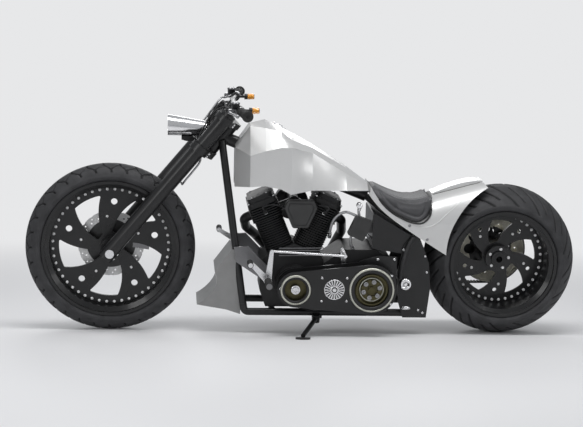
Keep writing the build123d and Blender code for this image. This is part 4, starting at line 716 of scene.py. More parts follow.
class CHOPPER_OT_primary(bpy.types.Operator):
    """Primary drive: bezels, bowls, clutch ring with springs, nuts, ribbed badge, inner ribs and screws"""

    bl_idname = "chopper.primary"
    bl_label = "Primary drive"

    def execute(self, context):
        guard_face = 234.0
        crank = np.array((CRANK[0], guard_face, CRANK[1]))
        clutch = np.array((CLUTCH[0], guard_face, CLUTCH[1]))
        rings, bowls = [], []
        for centre, inner, outer in ((crank, 46.6, 66.5), (clutch, 73.6, 98.5)):
            profile = [
                (1.2, outer - 9.4), (8.2, outer - 9), (9.4, outer - 8), (9.4, outer - 3.6), (4.6, outer),
                (-0.4, outer),
            ]
            rings.append(revolved(profile, centre, LEFT, 128))
            profile = [
                (-6, inner), (0.2, inner), (3.2, inner + 1.5), (3.2, inner + 4), (1.6, inner + 5),
                (1.6, outer - 9.2),
            ]
            bowls.append(revolved(profile, centre, LEFT, 128))
        make_piece("primary_bezels", joined(*rings), "pulley_ring")
        make_piece("primary_bowls", joined(*bowls), "brass_dark")
        plate = 224.0
        cover = revolved([(0, 53.5), (1.6, 53.5), (2.6, 51), (2.6, 48.5), (0.6, 47.5), (0, 47.5)],
                         clutch + LEFT * (plate - guard_face), LEFT, 96)
        make_piece("clutch_plate_ring", cover, "pulley_ring")
        coil_turns, coil_radius = 4, 8.2
        t = np.linspace(0, 1, 60)
        helix = np.stack([coil_radius * np.cos(2 * math.pi * coil_turns * t),
                          coil_radius * np.sin(2 * math.pi * coil_turns * t), 11 * t], -1)
        coil = tube(helix, 1.5, 6)
        cap = turned([(10, 10.4), (13, 10.4), (14, 8.6), (14, 4.2), (11, 3.6), (11, 0.01)], 20)
        spots = ring_spots(clutch + LEFT * (plate - guard_face - 0.5), 36, 6, 15)
        make_piece("clutch_springs", repeated(joined(coil, cap), spots, LEFT), "grey_steel")
        nuts = joined(
            repeated(turned([(0, 15), (9, 15), (10, 14), (10, 9), (2, 8.6), (2, 0.01)], 6),
                     [crank + LEFT * 1.5], LEFT),
            repeated(hex_head(9, 7), [clutch + LEFT * (plate - guard_face)], LEFT),
            repeated(turned([(-1, 19.5), (1.6, 19.5), (2.2, 18.5), (2.2, 8), (0, 8)], 40),
                     [crank + LEFT * 0.5], LEFT),
        )
        make_piece("pulley_nuts", nuts, "bright_steel", smooth=False)
        badge_centre = np.array((752.0, guard_face, 241.0))
        plate_steps = [(-0.4, 41.5), (2.2, 41.5), (2.2, 0.01)]
        make_piece("round_badge", revolved(plate_steps, badge_centre, LEFT, 72), "satin_black")
        band = revolved([(-0.4, 44.6), (4.2, 44.6), (5.4, 43.4), (5.4, 41.6), (4.2, 40.4), (-0.4, 40.4)],
                        badge_centre, LEFT, 72)
        dome = revolved(
            [
                (0, 17.5), (8.4, 17.5), (9.4, 16), (9.4, 13), (8.4, 12), (8.4, 10), (10, 8.5), (10.8, 5),
                (11, 0.01),
            ],
            badge_centre, LEFT, 48,
        )
        bars = []
        for turn in np.linspace(0, 2 * math.pi, 20, endpoint=False):
            out = np.array((math.cos(turn), math.sin(turn)))
            over = np.array((-out[1], out[0]))
            foot, tip = badge_centre[[0, 2]] + out * 16, badge_centre[[0, 2]] + out * 41
            bars.append(slab_mesh([foot - over * 1.4, tip - over * 3.2, tip + over * 3.2, foot + over * 1.4],
                                  guard_face + 1.8, guard_face + 8.2))
        make_piece(
            "badge_ribs", joined(band, dome, *bars), "bright_steel", smooth=False,
        )
        square = [(698, 292), (806, 292), (698, 190), (806, 190)]
        spots = [(x, guard_face, z) for x, z in square]
        spots += [(985, guard_face, 244), (505, guard_face - 1, 304), (505, guard_face - 1, 178)]
        screws = joined(repeated(button_head(6, 5), spots, LEFT),
                        repeated(button_head(6.5, 5), [(560, 170, 362), (488, 170, 362)], LEFT))
        ribs = []
        for z in (388, 377, 366, 355):
            face = seated(list(frame["nodes"]), (900, 500, z + 2), (0, -1, 0))[0][1]
            ribs.append(
                slab_mesh([(790, z + 3), (985, z), (985, z + 4), (790, z + 7)], face - 0.5, face + 3.5)
            )
        make_piece("inner_cover_ribs", joined(*ribs), "bracket_grey", smooth=False)
        make_piece("primary_screws", screws, "bright_steel")
        return {"FINISHED"}


def belt_teeth(line, pitch, depth, y0, y1, body, name):
    """Teeth inside a belt: one trapezoid bar per pitch, its root on the line and its crown inwards."""
    middle = line.mean(0)
    _, length = evenly(line, 10)
    spots, _ = evenly(line, int(length / pitch))
    ahead = np.roll(spots, -1, axis=0) - np.roll(spots, 1, axis=0)
    ahead /= np.linalg.norm(ahead, axis=1, keepdims=True)
    inward = np.stack([-ahead[:, 1], ahead[:, 0]], -1)
    inward *= np.sign(((middle - spots) * inward).sum(1, keepdims=True))
    root, crown = pitch * 0.32, pitch * 0.2
    corners = [(-root, -0.4), (root, -0.4), (crown, depth), (-crown, depth)]
    ring = np.stack([spots + a * ahead + d * inward for a, d in corners], 1)
    low = np.insert(ring, 1, y0, axis=2)
    high = np.insert(ring, 1, y1, axis=2)
    points = np.concatenate([low, high], 1).reshape(-1, 3)
    cell = np.array([(0, 1, 5, 4), (1, 2, 6, 5), (2, 3, 7, 6), (3, 0, 4, 7), (3, 2, 1, 0), (4, 5, 6, 7)])
    faces = (cell[None] + (np.arange(len(spots)) * 8)[:, None, None]).reshape(-1, 4)
    piece = make_piece(name, (points, faces), "belt_rubber", body, smooth=False)
    recalculate(piece)
    return piece


def recalculate(piece):
    """Face normals made to point outwards."""
    sheet = bmesh.new()
    sheet.from_mesh(piece.data)
    bmesh.ops.recalc_face_normals(sheet, faces=sheet.faces)
    sheet.to_mesh(piece.data)
    sheet.free()


class CHOPPER_OT_belts(bpy.types.Operator):
    """Teeth of the primary and the final drive belt"""

    bl_idname = "chopper.belts"
    bl_label = "Belt teeth"

    def execute(self, context):
        primary = stadium(CRANK, 54.3, CLUTCH, 86.3, 40)
        belt_teeth(primary, 14.0, 3.0, 176.5, 217.5, "chassis", "primary_belt_teeth")
        final = stadium((0, rear_axle_z), 152.5, CLUTCH, 66.3, 60)
        belt_teeth(final, 14.0, 3.0, -201.5, -172.5, "chassis", "final_belt_teeth")
        return {"FINISHED"}


class CHOPPER_OT_engine_trim(bpy.types.Operator):
    """Engine trim: rocker cover screws, spark plugs, their boots and leads"""

    bl_idname = "chopper.engine_trim"
    bl_label = "Engine trim"

    def execute(self, context):
        crank = np.array((CRANK[0], 0.0, CRANK[1]))
        v_half = math.radians(22.5)
        screws, plugs, leads, caps = [], [], [], []
        head_from = 164 + 13 * 10.5
        head_to = head_from + 6 * 10.5
        for hand in (1, -1):
            way = np.array((math.sin(v_half) * hand, 0, math.cos(v_half)))
            over = np.array((math.cos(v_half), 0, -math.sin(v_half) * hand))
            roof = crank + way * (head_to + 6 + 38)
            step = crank + way * (head_to + 6 + 38 * 0.45)
            for dx in (-50, 50):
                for dy in (-112, -66, 14, 60):
                    screws.append((step + over * dx * 1.16 + LEFT * dy, way))
            for dx in (-34, 34):
                for dy in (-96, 46):
                    screws.append((roof + over * dx + LEFT * dy, way))
            port = crank + way * (head_from + 30) + LEFT * 76
            out = LEFT * 0.9 + way * 0.3
            out = out / np.linalg.norm(out)
            plugs.append(repeated(hex_head(10, 12), [port - out * 2], out))
            plugs.append(repeated(turned([(0, 6), (18, 6), (20, 5), (34, 4.5), (36, 0.01)], 16),
                                  [port + out * 8], out))
            boot = port + out * 26
            caps.append(
                tube([boot - out * 6, boot + out * 8, boot + out * 18 - LEFT * 2 + way * 8], 8.5, 14, 12)
            )
            high = np.array((919 + hand * 34, 74, 566))
            leads.append(
                tube(
                    [
                        boot + out * 14, boot + out * 26 + way * 22,
                        (boot + high) / 2 + way * 26 + LEFT * 8, high,
                    ],
                    4.0, 12, 40,
                )
            )
        make_piece("rocker_screws", placed(button_head(6.2, 5), screws), "bright_steel")
        make_piece("spark_plugs", joined(*plugs), "bright_steel")
        make_piece("plug_boots", joined(*caps), "grip_rubber")
        make_piece("plug_leads", joined(*leads), "hose_rubber")
        return {"FINISHED"}


def seated(nodes, start, way):
    """Where a ray first meets the named nodes and the surface's outward way there, both upright."""
    best = None
    for node in nodes:
        part = frame["nodes"][node]
        if not part.visible_get():
            continue
        back = part.matrix_world.inverted()
        to = (back.to_3x3() @ Vector(park_way(way))).normalized()
        met, place, normal, _ = part.ray_cast(back @ Vector(park(start)), to)
        if met:
            spot = unpark(np.array(part.matrix_world @ place)[None])[0]
            far = np.linalg.norm(spot - np.asarray(start, float))
            if best is None or far < best[0]:
                out = np.array(part.matrix_world.to_3x3() @ normal)
                best = (far, spot, unpark(out[None] / 1000)[0] - unpark(np.zeros((1, 3)))[0])
    if best is None:
        raise RuntimeError(f"no surface of {nodes} at {tuple(start)}")
    return best[1], best[2] / np.linalg.norm(best[2])


def bar_way(hand):
    """Direction of the handlebar's outer part on one hand."""
    w = np.array((BAR_END[0] - BAR_MID[0], BAR_END[1] - BAR_MID[1], BAR_END[2] - BAR_MID[2])) * (1, hand, 1)
    return w / np.linalg.norm(w)


BAR_END = (1150.0, 398.0, 1010.0)
BAR_MID = (1192.0, 118.0, 1010.0)


def beside_leg(along, across, ahead):
    """FRONT_HUB + along FORK_UP + across LEFT + ahead FORK_AHEAD."""
    return FRONT_HUB + FORK_UP * along + LEFT * across + FORK_AHEAD * ahead


class CHOPPER_OT_cockpit(bpy.types.Operator):
    """Grip ribs, switch pods, caps, screws, lamp glass and rim, signal lenses, brake hose, cable, wires"""

    bl_idname = "chopper.cockpit"
    bl_label = "Cockpit"

    def execute(self, context):
        ribs, pods, caps, dark = [], [], [], []
        for hand in (1, -1):
            w = bar_way(hand)
            end = np.array(BAR_END) * (1, hand, 1)
            t = np.linspace(0, 1, 190)
            ridge = 0.9 * (np.cos(t * 2 * math.pi * 18) > 0.2)
            ribs.append(revolved(np.stack([-126 + t * 122, 18.2 + ridge], -1), end, w, 40))
            cap_steps = [(0.4, 23.4), (11.4, 23.4), (12.7, 21.5), (12.7, 9), (12, 8), (12, 0.01)]
            ribs.append(revolved(cap_steps, end, w, 40))
            pod = end - w * 176
            barrel = [(-13, 13), (-13, 18), (-10, 20.5), (10, 20.5), (13, 18), (13, 13)]
            pods.append(revolved(barrel, pod, w, 32))
            perch = end - w * 141 + np.array((26, 0, 0))
            cup_at = perch + np.array((-4.0, -hand * 16.0, 12.0))
            cup = [(-4, 0.01), (-4, 15), (0, 17), (17, 17), (18, 18.2), (20, 18.2)]
            dark.append(revolved(cup, cup_at, (0, 0, 1), 32))
            lid = [(20, 18.2), (24.4, 18.2), (26.2, 16), (26.6, 8), (26.6, 0.01)]
            caps.append(revolved(lid, cup_at, (0, 0, 1), 32))
            lid_screws = cup_at + np.array([(9.0, 9.0, 26.2), (-9.0, -9.0, 26.2)])
            caps.append(repeated(button_head(2.6, 1.6), lid_screws, (0, 0, 1)))
        make_piece("grip_ribs", joined(*ribs), "grip_rubber", "steering")
        make_piece("switch_pods", joined(*pods, *dark), "satin_black", "steering")
        make_piece("reservoir_caps", joined(*caps), "grey_steel", "steering")

        screws, fork_caps = [], []
        for hand in (1, -1):
            top = FRONT_HUB + FORK_UP * 786 + LEFT * 115 * hand
            cap = [(-1, 33.4), (3, 33.4), (6, 30.5), (6, 20), (9, 18), (9, 9), (5, 8), (5, 0.01)]
            fork_caps.append(revolved(cap, top, FORK_UP, 48))
            clamps = [(along + thick * lift, -46.5) for along, thick in ((578, 34), (748, 26))
                      for lift in (0.28, 0.72)]
            for along, ahead in clamps + [(-14, -32.5), (12, -32.5)]:
                screws.append((beside_leg(along, 115 * hand, ahead), -FORK_AHEAD))
        make_piece("clamp_screws", placed(button_head(5.2, 4.6), screws), "bright_steel", "steering")
        make_piece("fork_caps", joined(*fork_caps), "satin_black", "steering")

        front = np.array((wheelbase - 243.0, 0.0, 912.0))
        x_way = np.array((1.0, 0.0, 0.0))
        glass = revolved([(-3, 40.5), (-1.5, 34), (-0.3, 20), (0, 0.01)], front, x_way, 64)
        make_piece("lamp_glass", glass, "clear_lens", "steering")
        rim = revolved([(-5, 41), (-4.5, 40.8), (-0.4, 40.8), (-0.1, 42), (-0.1, 45.2)], front, x_way, 64)
        reflector = [(-4, 40), (-7, 32), (-9, 20), (-10.5, 9), (-6, 7.5), (-5.4, 5), (-5.2, 0.01)]
        bowl = revolved(reflector, front, x_way, 64)
        make_piece("lamp_rim", joined(rim, bowl), "polished", "steering")

        right_end = np.array(BAR_END) * (1, -1, 1)
        from_perch = right_end - bar_way(-1) * 141 + np.array((18.0, 34.0, 8.0))
        way_in = [from_perch, from_perch + (34, 40, -8), beside_leg(800, -74, 52), beside_leg(700, -74, 46),
                  beside_leg(616, -60, 42)]
        way_down = [
            beside_leg(572, 70, -24), beside_leg(548, 86, -42), beside_leg(500, 96, -45),
            beside_leg(450, 94, -46), beside_leg(422, 60, -52), beside_leg(414, 0, -56),
            beside_leg(408, -52, -46), beside_leg(372, -80, -18), beside_leg(300, -80, -8),
            beside_leg(220, -79, -6), FRONT_HUB + np.array((-120.0, -70.0, 132.0)),
            FRONT_HUB + np.array((-112.0, -64.0, 96.0)),
        ]
        hose = joined(tube(way_in, 4.2, 10, 60), tube(way_down, 4.6, 10, 130))
        make_piece("brake_hose", hose, "braided_hose", "steering")
        left_end = np.array(BAR_END)
        from_lever = left_end - bar_way(1) * 141 + np.array((18.0, -34.0, 8.0))
        cable = [from_lever, from_lever + (38, -44, -4), beside_leg(810, 66, 54), beside_leg(716, 70, 50),
                 beside_leg(600, 72, 20), beside_leg(556, 64, -16)]
        make_piece("clutch_cable", tube(cable, 3.4, 10, 90), "hose_rubber", "steering")
        runs = []
        for hand, bar_end in ((1, left_end), (-1, right_end)):
            from_pod = [bar_end - bar_way(hand) * 186 + (0, 0, -18), bar_end - bar_way(hand) * 230 + (-6, 0, -34)]
            runs.append((3.2, from_pod + [(1198, 92 * hand, 968), (1214, 60 * hand, 930), (1222, 34 * hand, 900)]))
        for hand, drop in ((1, 0), (-1, 6)):
            runs.append((4.0, [(1206, 96 * hand, 1004), (1252, 84 * hand, 1000 - drop),
                               (1292, 66 * hand, 962 - drop), (1296, 44 * hand, 920), (1268, 30 * hand, 896)]))
            runs.append((3.4, [(1200, 130 * hand, 1002), (1236, 128 * hand, 990), (1262, 76 * hand, 930 - drop),
                               (1300, 62 * hand, 872), (1318, 52 * hand, 842)]))
        wires = joined(*(tube(way, radius, 10, 60) for radius, way in runs))
        make_piece("bar_wires", wires, "hose_rubber", "steering")
        lenses = []
        for hand in (1, -1):
            share = (226.0 - 118.0) / (398.0 - 118.0)
            spot = np.array(BAR_MID) * (1, 0, 1) + np.array((-42.0, 0, 0)) * share + LEFT * 226.0 * hand
            lens = [(54, 12), (55, 13.6), (78, 12.6), (83, 11), (85, 7), (85.4, 0.01)]
            lenses.append(revolved(lens, spot, np.array((-1.0, 0.0, 0.0)), 32))
        make_piece("signal_lenses", joined(*lenses), "amber_lens", "steering")
        spots = FRONT_HUB + np.array([(-108.0, -43.8, 66.0), (-126.0, -43.8, 22.0)])
        make_piece("caliper_screws", repeated(button_head(6.5, 5), spots, LEFT), "bright_steel", "steering")
        return {"FINISHED"}


TAIL_CREASE = np.array(
    [(560, 616), (510, 566), (438, 523), (362, 503), (310, 520), (262, 562), (210, 606), (176, 636)], float,
)


def ribbed(length, radius, height, ribs, samples):
    """Profile of a ribbed sleeve: square waves of a height on a radius."""
    t = np.linspace(0, 1, samples)
    return np.stack([t * length, radius + height * (np.cos(t * 2 * math.pi * ribs) > 0)], -1)


class CHOPPER_OT_frame_trim(bpy.types.Operator):
    """Oval plug, plate and tail screws, peg rubbers, filler cap, painted shade lines in the tail grooves, tail
    creases, painted shadow line under the seat
    """

    bl_idname = "chopper.frame_trim"
    bl_label = "Frame trim"

    def execute(self, context):
        pivot = np.array((433.0, 162.0, 249.0))
        bolt = revolved(
            [(-16, 26), (-1, 26), (3, 24), (5, 21), (5, 17), (3.4, 16), (3.4, 10), (-4, 9.5), (-4, 0.01)],
            pivot, LEFT, 48,
        )
        chrome = [bolt, repeated(hex_head(9, 5), [pivot - LEFT * 3.6], LEFT)]
        a = np.linspace(0, 2 * math.pi, 40, endpoint=False)
        face = seated(list(frame["nodes"]), (427, 500, 139), (0, -1, 0))[0][1]
        oval = np.stack([427 + 20 * np.cos(a), 139 + 8 * np.sin(a)], -1)
        chrome.append(slab_mesh(oval, face - 0.5, face + 4))
        chrome.append(slab_mesh((oval - (427, 139)) * 0.72 + (427, 139), face + 3.8, face + 5))
        make_piece("plate_trim", joined(*chrome), "polished")
        holes = ((352, 118), (372, 130), (446, 400), (350, 372), (340, 300))
        screws = [((x, 146 * hand, z), LEFT * hand) for hand in (1, -1) for x, z in holes]
        make_piece("plate_screws", placed(button_head(5.6, 4.4), screws), "bright_steel")
        rubbers = []
        for hand in (1, -1):
            ribs = np.vstack([[(0, 12.9)], ribbed(92, 14.2, 1.6, 11, 150), [(92, 12.9)]])
            rubbers.append(revolved(ribs, (1040.0, 258.5 * hand, 280.0), LEFT * hand, 32))
        for x, y, z, hand, length in ((1119.0, 253.0, 363.0, 1, 63), (1236.0, -246.0, 398.0, -1, 53)):
            rubbers.append(revolved(ribbed(length, 11.4, 1.2, 7, 90), (x, y, z), LEFT * hand, 28))
        make_piece("peg_rubbers", joined(*rubbers), "grip_rubber")
        top, slope = seated(["tank"], (985, -62, 1200), (0, 0, -1))
        cap = revolved(
            [(-8, 33), (1, 33), (3.4, 31), (4.2, 26), (4.2, 14), (7.5, 12), (8, 6), (8, 0.01)], top, slope,
            56,
        )
        make_piece("filler_cap", cap, "polished")
        for hand, word in ((1, "left"), (-1, "right")):
            crease = [seated(["tail"], (x, 400 * hand, z), (0, -hand, 0))[0]
                      for x, z in evenly(smooth_path(TAIL_CREASE, 60), 70, closed=False)[0]]
            line = np.array(crease)
            line[1:-1] = (line[:-2] + 2 * line[1:-1] + line[2:]) / 4
            # Painted shade: a black tube on the tail's top, beside the raised band, stands in for the shade in the
            # groove there.
            band = [
                seated(["tail"], (x, 44.0 * hand, 900), (0, 0, -1))[0] - (0, 0, 0.4)
                for x in np.linspace(310, 106, 40)
            ]
            make_piece(f"tail_groove_shade_{word}", tube(band, 1.7, 10), "satin_black")
            swell = 2.6 * np.sin(np.linspace(0.12, math.pi - 0.12, len(line))) ** 0.5
            make_piece(f"tail_crease_{word}", tube(line, swell, 12), "silver_paint")
        below = evenly(smooth_path(SEAT_EDGE, 80), 90, closed=False)[0]
        away = below - SEAT_MIDDLE
        away /= np.linalg.norm(away, axis=1, keepdims=True)
        below = below + away * 5.5
        # Painted shadow: a black tube along the seat's lower edge stands in for the shadow gap between the seat
        # and the tail.
        for hand, word in ((1, "left"), (-1, "right")):
            gap_shadow_line = [
                seated(["tail", "seat", "tank"], (x, 400 * hand, z), (0, -hand, 0))[0]
                for x, z in below[14:-5]
            ]
            gap_shadow_line = np.array(gap_shadow_line)
            gap_shadow_line[:, [0, 2]] -= away[14:-5] * 5.0
            gap_shadow_line[1:-1] = (gap_shadow_line[:-2] + 2 * gap_shadow_line[1:-1] + gap_shadow_line[2:]) / 4
            make_piece(f"seat_gap_shadow_{word}", tube(gap_shadow_line, 4.2, 10), "satin_black")
        studs = [
            seated(["tail"], (x, 400 * hand, z), (0, -hand, 0))
            for x, z in ((424, 508), (346, 450)) for hand in (1, -1)
        ]
        make_piece("tail_screws", placed(button_head(6.5, 3.6), studs), "grey_steel")
        return {"FINISHED"}


class CHOPPER_OT_hoses(bpy.types.Operator):
    """Braided oil lines, breather hose, their fittings and the bright cable beside the left downtube"""

    bl_idname = "chopper.hoses"
    bl_label = "Hoses"

    def execute(self, context):
        loop = [
            (560, 96, 430), (596, 118, 452), (640, 124, 486), (668, 120, 470), (676, 112, 424),
            (662, 104, 386),
        ]
        second = [(404, 150, 456), (424, 158, 424), (442, 160, 372), (454, 160, 316), (458, 158, 272)]
        third = [
            (640, 112, 584), (644, 112, 560), (646, 110, 540), (700, 104, 556), (742, 96, 530),
            (760, 84, 486), (764, 70, 440),
        ]
        make_piece("oil_lines", joined(*(tube(p, 6.0, 12, 90) for p in (loop, third))), "braided_hose")
        make_piece("breather_hose", tube(second, 9.0, 16, 60), "hose_rubber")
        banjo = repeated(turned([(-16, 12), (12, 12), (14, 10), (14, 0.01)], 24), [(642, 112, 587)], LEFT)
        make_piece("oil_banjo", banjo, "polished")
        ends = [np.array(p[0], float) for p in (loop, third)] + [
            np.array(p[-1], float)
            for p in (loop, third)
        ]
        starts = [np.array(p[1], float) - np.array(p[0]) for p in (loop, third)]
        stops = [np.array(p[-2], float) - np.array(p[-1]) for p in (loop, third)]
        union = turned([(-6, 8.5), (10, 8.5), (12, 7.4), (20, 7.2), (21, 6)], 6)
        make_piece("hose_unions", repeated(union, ends, starts + stops), "bright_steel", smooth=False)
        down = [(1206 - 0.1432 * k * 100 + 19, 26 + k * 13.0 + 14, 780 - k * 100) for k in range(6)]
        make_piece("frame_cable", tube(down, 3.0, 10, 80), "braided_hose")
        return {"FINISHED"}


def vertex_rows(piece, what):
    """Places or normals of a piece's vertices, one row each."""
    values = np.empty(len(piece.data.vertices) * 3)
    piece.data.vertices.foreach_get(what, values)
    return values.reshape(-1, 3)


class CHOPPER_OT_seat(bpy.types.Operator):
    """Leather seat: the frame's solid remeshed, puffed as cloth under pressure, then sewn"""

    bl_idname = "chopper.seat"
    bl_label = "Seat"

    def execute(self, context):
        scene = context.scene
        node = frame["nodes"]["seat"]
        mesh = node.data.copy()
        mesh.transform(node.matrix_world)
        pad = bpy.data.objects.new("seat_leather_pad", mesh)
        scene.collection.objects.link(pad)
        sheet = bmesh.new()
        sheet.from_mesh(mesh)
        bmesh.ops.remove_doubles(sheet, verts=sheet.verts, dist=1e-5)
        sheet.to_mesh(mesh)
        sheet.free()
        apply_modifier(pad, "REMESH", mode="VOXEL", voxel_size=0.0042)
        normal = vertex_rows(pad, "normal")
        start = vertex_rows(pad, "co") - normal * 0.004
        pad.data.vertices.foreach_set("co", start.ravel())
        cloth = pad.modifiers.new("cloth", "CLOTH")
        cloth.settings.use_pressure = True
        cloth.settings.uniform_pressure_force = 4
        cloth.settings.effector_weights.gravity = 0
        for step in range(1, 21):
            scene.frame_set(step)
        puffed = pad.evaluated_get(context.evaluated_depsgraph_get())
        moved = vertex_rows(puffed, "co") - start
        pad.modifiers.remove(cloth)
        scene.frame_set(1)
        reach = np.linalg.norm(moved, axis=1, keepdims=True)
        cap = 0.004 + 0.006 * np.clip(normal[:, 2:], 0, 1)
        start = start + moved * np.minimum(1, cap / np.maximum(reach, 1e-9))
        pad.data.vertices.foreach_set("co", start.ravel())
        pad.data.update()
        apply_modifier(pad, "SMOOTH", factor=0.5, iterations=8)
        start, normal = vertex_rows(pad, "co"), vertex_rows(pad, "normal")
        upright = unpark(start)
        edge, _ = evenly(smooth_path(SEAT_EDGE, 80), 200, closed=False)
        gap = np.sqrt(((upright[:, None, [0, 2]] - edge[None]) ** 2).sum(-1)).min(1)
        side = np.clip((np.abs(upright[:, 1]) - 84) / 16, 0, 1)
        roll = 0.0035 * np.sqrt(np.clip(1 - ((gap - ROLL_WIDTH / 2) / (ROLL_WIDTH / 2)) ** 2, 0, 1))
        sewn = 0.0055 * np.exp(-(((gap - ROLL_WIDTH) / 4.6) ** 2))
        cross = 0.002 * np.exp(
            -(((np.abs(upright[:, 1]) - 72) / 4.6) ** 2)
        ) * np.clip(normal[:, 2] * 1.5, 0, 1)
        start = start + normal * ((roll - sewn) * side - cross)[:, None]
        pad.data.vertices.foreach_set("co", start.ravel())
        pad.data.update()
        apply_modifier(pad, "SUBSURF", levels=1)
        pad.data.polygons.foreach_set("use_smooth", np.full(len(pad.data.polygons), True))
        pad.data.materials.clear()
        pad.data.materials.append(finish("seat_leather"))
        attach(pad, "chassis")
        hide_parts("seat")
        return {"FINISHED"}


SEAT_EDGE = np.array([(592, 668), (532, 588), (464, 541), (384, 519), (340, 548), (326, 600)], float)
SEAT_MIDDLE = np.array((455.0, 640.0))
ROLL_WIDTH = 24.0


def unpark(points):
    """Row metres back to upright millimetres."""
    p = np.asarray(points) * 1000
    c, s = math.cos(lean), math.sin(lean)
    y, z = p[:, 1] + middle_y, p[:, 2]
    return np.stack([p[:, 0] + middle_x, y * c - z * s, y * s + z * c], -1)


def apply_modifier(piece, kind, **settings):
    """A modifier added, set and applied to the piece's own mesh."""
    modifier = piece.modifiers.new(kind.lower(), kind)
    for key, value in settings.items():
        setattr(modifier, key, value)
    ready = piece.evaluated_get(bpy.context.evaluated_depsgraph_get())
    mesh = bpy.data.meshes.new_from_object(ready)
    piece.modifiers.clear()
    piece.data = mesh


class CHOPPER_OT_frame_finishes(bpy.types.Operator):
    """A finish on every node of the frame"""

    bl_idname = "chopper.frame_finishes"
    bl_label = "Frame finishes"

    def execute(self, context):
        named = {node: key for key, nodes in NODE_FINISHES.items() for node in nodes}
        for node, part in frame["nodes"].items():
            part.data.materials.clear()
            part.data.materials.append(finish(named.get(node, "satin_black")))
        return {"FINISHED"}


SURROUND = (0.8, 0.805, 0.815, 1)


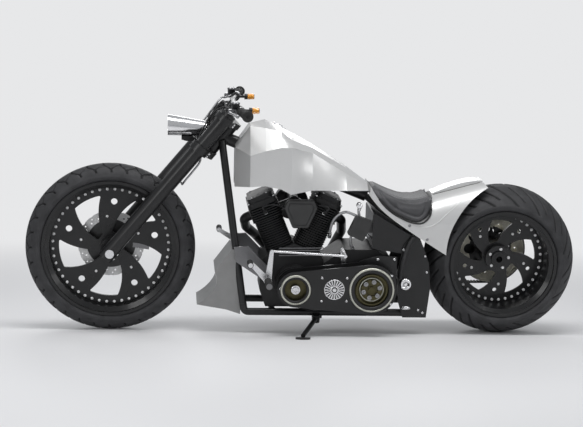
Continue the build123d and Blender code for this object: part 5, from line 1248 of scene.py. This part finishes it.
class CHOPPER_OT_stage(bpy.types.Operator):
    """Pale ground that fades into a pale surround, soft lamps and the photograph's camera"""

    bl_idname = "chopper.stage"
    bl_label = "Stage"

    def execute(self, context):
        scene = context.scene
        floor_material, tree, shader, place = new_finish("studio_floor")
        feed(tree, shader, {"Base Color": (*scene.chopper_paint.floor_colour, 1), "Roughness": 0.55})
        glow = node(tree, "Emission", {"Color": SURROUND})
        away = node(tree, "VectorMath", links={0: place}, operation="LENGTH")
        reach = node(tree, "MapRange", {"From Min": 1.9, "From Max": 5.0}, {"Value": away.outputs["Value"]},
                     interpolation_type="SMOOTHSTEP")
        seen = node(tree, "LightPath").outputs["Is Camera Ray"]
        both = node(tree, "Math", links={0: reach.outputs["Result"], 1: seen}, operation="MULTIPLY")
        blend = node(
            tree, "MixShader", links={"Fac": both.outputs[0], 1: shader.outputs[0], 2: glow.outputs[0]},
        )
        feed(tree, tree.nodes["Material Output"], links={"Surface": blend.outputs[0]})
        side = np.linspace(-60, 60, 5)
        x, y = np.meshgrid(side, side, indexing="ij")
        points = np.stack([x, y, np.zeros_like(x)], -1)
        mesh = bpy.data.meshes.new("studio_ground")
        mesh.from_pydata(points.reshape(-1, 3).tolist(), [], grid_faces(5, 5)[:, ::-1].tolist())
        mesh.polygons.foreach_set("use_smooth", np.full(len(mesh.polygons), True))
        mesh.materials.append(floor_material)
        ground = bpy.data.objects.new("studio_ground", mesh)
        scene.collection.objects.link(ground)

        world = bpy.data.worlds.new("studio")
        scene.world = world
        world.use_nodes = True
        tree = world.node_tree
        tree.nodes.clear()
        light = node(tree, "Background", {"Color": (0.9, 0.92, 0.95, 1), "Strength": 0.46})
        shown = node(tree, "Background", {"Color": SURROUND})
        path = node(tree, "LightPath").outputs
        seen = node(tree, "Math", links={0: path["Is Camera Ray"], 1: path["Is Transmission Ray"]},
                    operation="MAXIMUM")
        mix = node(
            tree, "MixShader", links={"Fac": seen.outputs[0], 1: light.outputs[0], 2: shown.outputs[0]},
        )
        node(tree, "OutputWorld", links={"Surface": mix.outputs[0]})

        for name, place, size, power in (
            ("top_box", (0.0, 0.8, 3.2), (3.4, 0.9), 62.0),
            ("front_box", (2.8, 3.4, 1.9), (1.0, 2.2), 30.0),
            ("rear_box", (-3.0, 3.0, 1.8), (1.0, 2.2), 22.0),
            ("right_box", (0.0, -3.6, 2.4), (3.2, 0.9), 34.0),
        ):
            lamp = bpy.data.lights.new(name, "AREA")
            lamp.shape = "RECTANGLE"
            lamp.size, lamp.size_y = size
            lamp.energy = power
            light_object = bpy.data.objects.new(name, lamp)
            light_object.location = place
            aim = Vector((0, 0, 0.45)) - Vector(place)
            light_object.rotation_euler = aim.to_track_quat("-Z", "Y").to_euler()
            scene.collection.objects.link(light_object)

        cy, sy = math.cos(CAMERA_YAW), math.sin(CAMERA_YAW)
        cp, sp = math.cos(CAMERA_PITCH), math.sin(CAMERA_PITCH)
        cr, sr = math.cos(CAMERA_ROLL), math.sin(CAMERA_ROLL)
        ahead = np.array((sy * cp, cy * cp, -sp))
        right = np.array((cy, -sy, 0.0))
        up = np.cross(right, ahead)
        right, up = right * cr + up * sr, -right * sr + up * cr
        to_bike = np.array((-1.0, -1.0, 1.0))
        columns = [park_way(right * to_bike), park_way(up * to_bike), park_way(-ahead * to_bike)]
        camera = bpy.data.cameras.new("photo_camera")
        camera.lens = FOCAL_PIXELS * camera.sensor_width / PHOTO_WIDTH
        camera.clip_end = 100
        eye = bpy.data.objects.new("photo_camera", camera)
        rows = [[*(c[k] for c in columns), park(CAMERA_PLACE)[k]] for k in range(3)]
        eye.matrix_world = Matrix(rows + [[0, 0, 0, 1]])
        scene.collection.objects.link(eye)
        scene.camera = eye
        scene.view_settings.view_transform = "Standard"
        return {"FINISHED"}


OPERATORS = (
    CHOPPER_OT_frame_finishes,
    CHOPPER_OT_tyres,
    CHOPPER_OT_wheel_screws,
    CHOPPER_OT_primary,
    CHOPPER_OT_belts,
    CHOPPER_OT_engine_trim,
    CHOPPER_OT_cockpit,
    CHOPPER_OT_frame_trim,
    CHOPPER_OT_hoses,
    CHOPPER_OT_seat,
    CHOPPER_OT_stage,
)


class CHOPPER_PT_panel(bpy.types.Panel):
    """Lists the pieces in the sidebar"""

    bl_label = "Chopper"
    bl_idname = "CHOPPER_PT_panel"
    bl_space_type = "VIEW_3D"
    bl_region_type = "UI"
    bl_category = "Chopper"

    def draw(self, context):
        for settings in (context.scene.chopper_paint, context.scene.chopper_sizes):
            for key in settings.__annotations__:
                self.layout.prop(settings, key)
        for operator in OPERATORS:
            self.layout.operator(operator.bl_idname)


CLASSES = (ChopperPaint, ChopperSizes, *OPERATORS, CHOPPER_PT_panel)


def register():
    for cls in CLASSES:
        bpy.utils.register_class(cls)
    bpy.types.Scene.chopper_paint = bpy.props.PointerProperty(type=ChopperPaint)
    bpy.types.Scene.chopper_sizes = bpy.props.PointerProperty(type=ChopperSizes)


def unregister():
    del bpy.types.Scene.chopper_sizes
    del bpy.types.Scene.chopper_paint
    for cls in reversed(CLASSES):
        bpy.utils.unregister_class(cls)


def main():
    register()
    for operator in OPERATORS:
        group, name = operator.bl_idname.split(".")
        getattr(getattr(bpy.ops, group), name)()


if __name__ == "__main__":
    main()
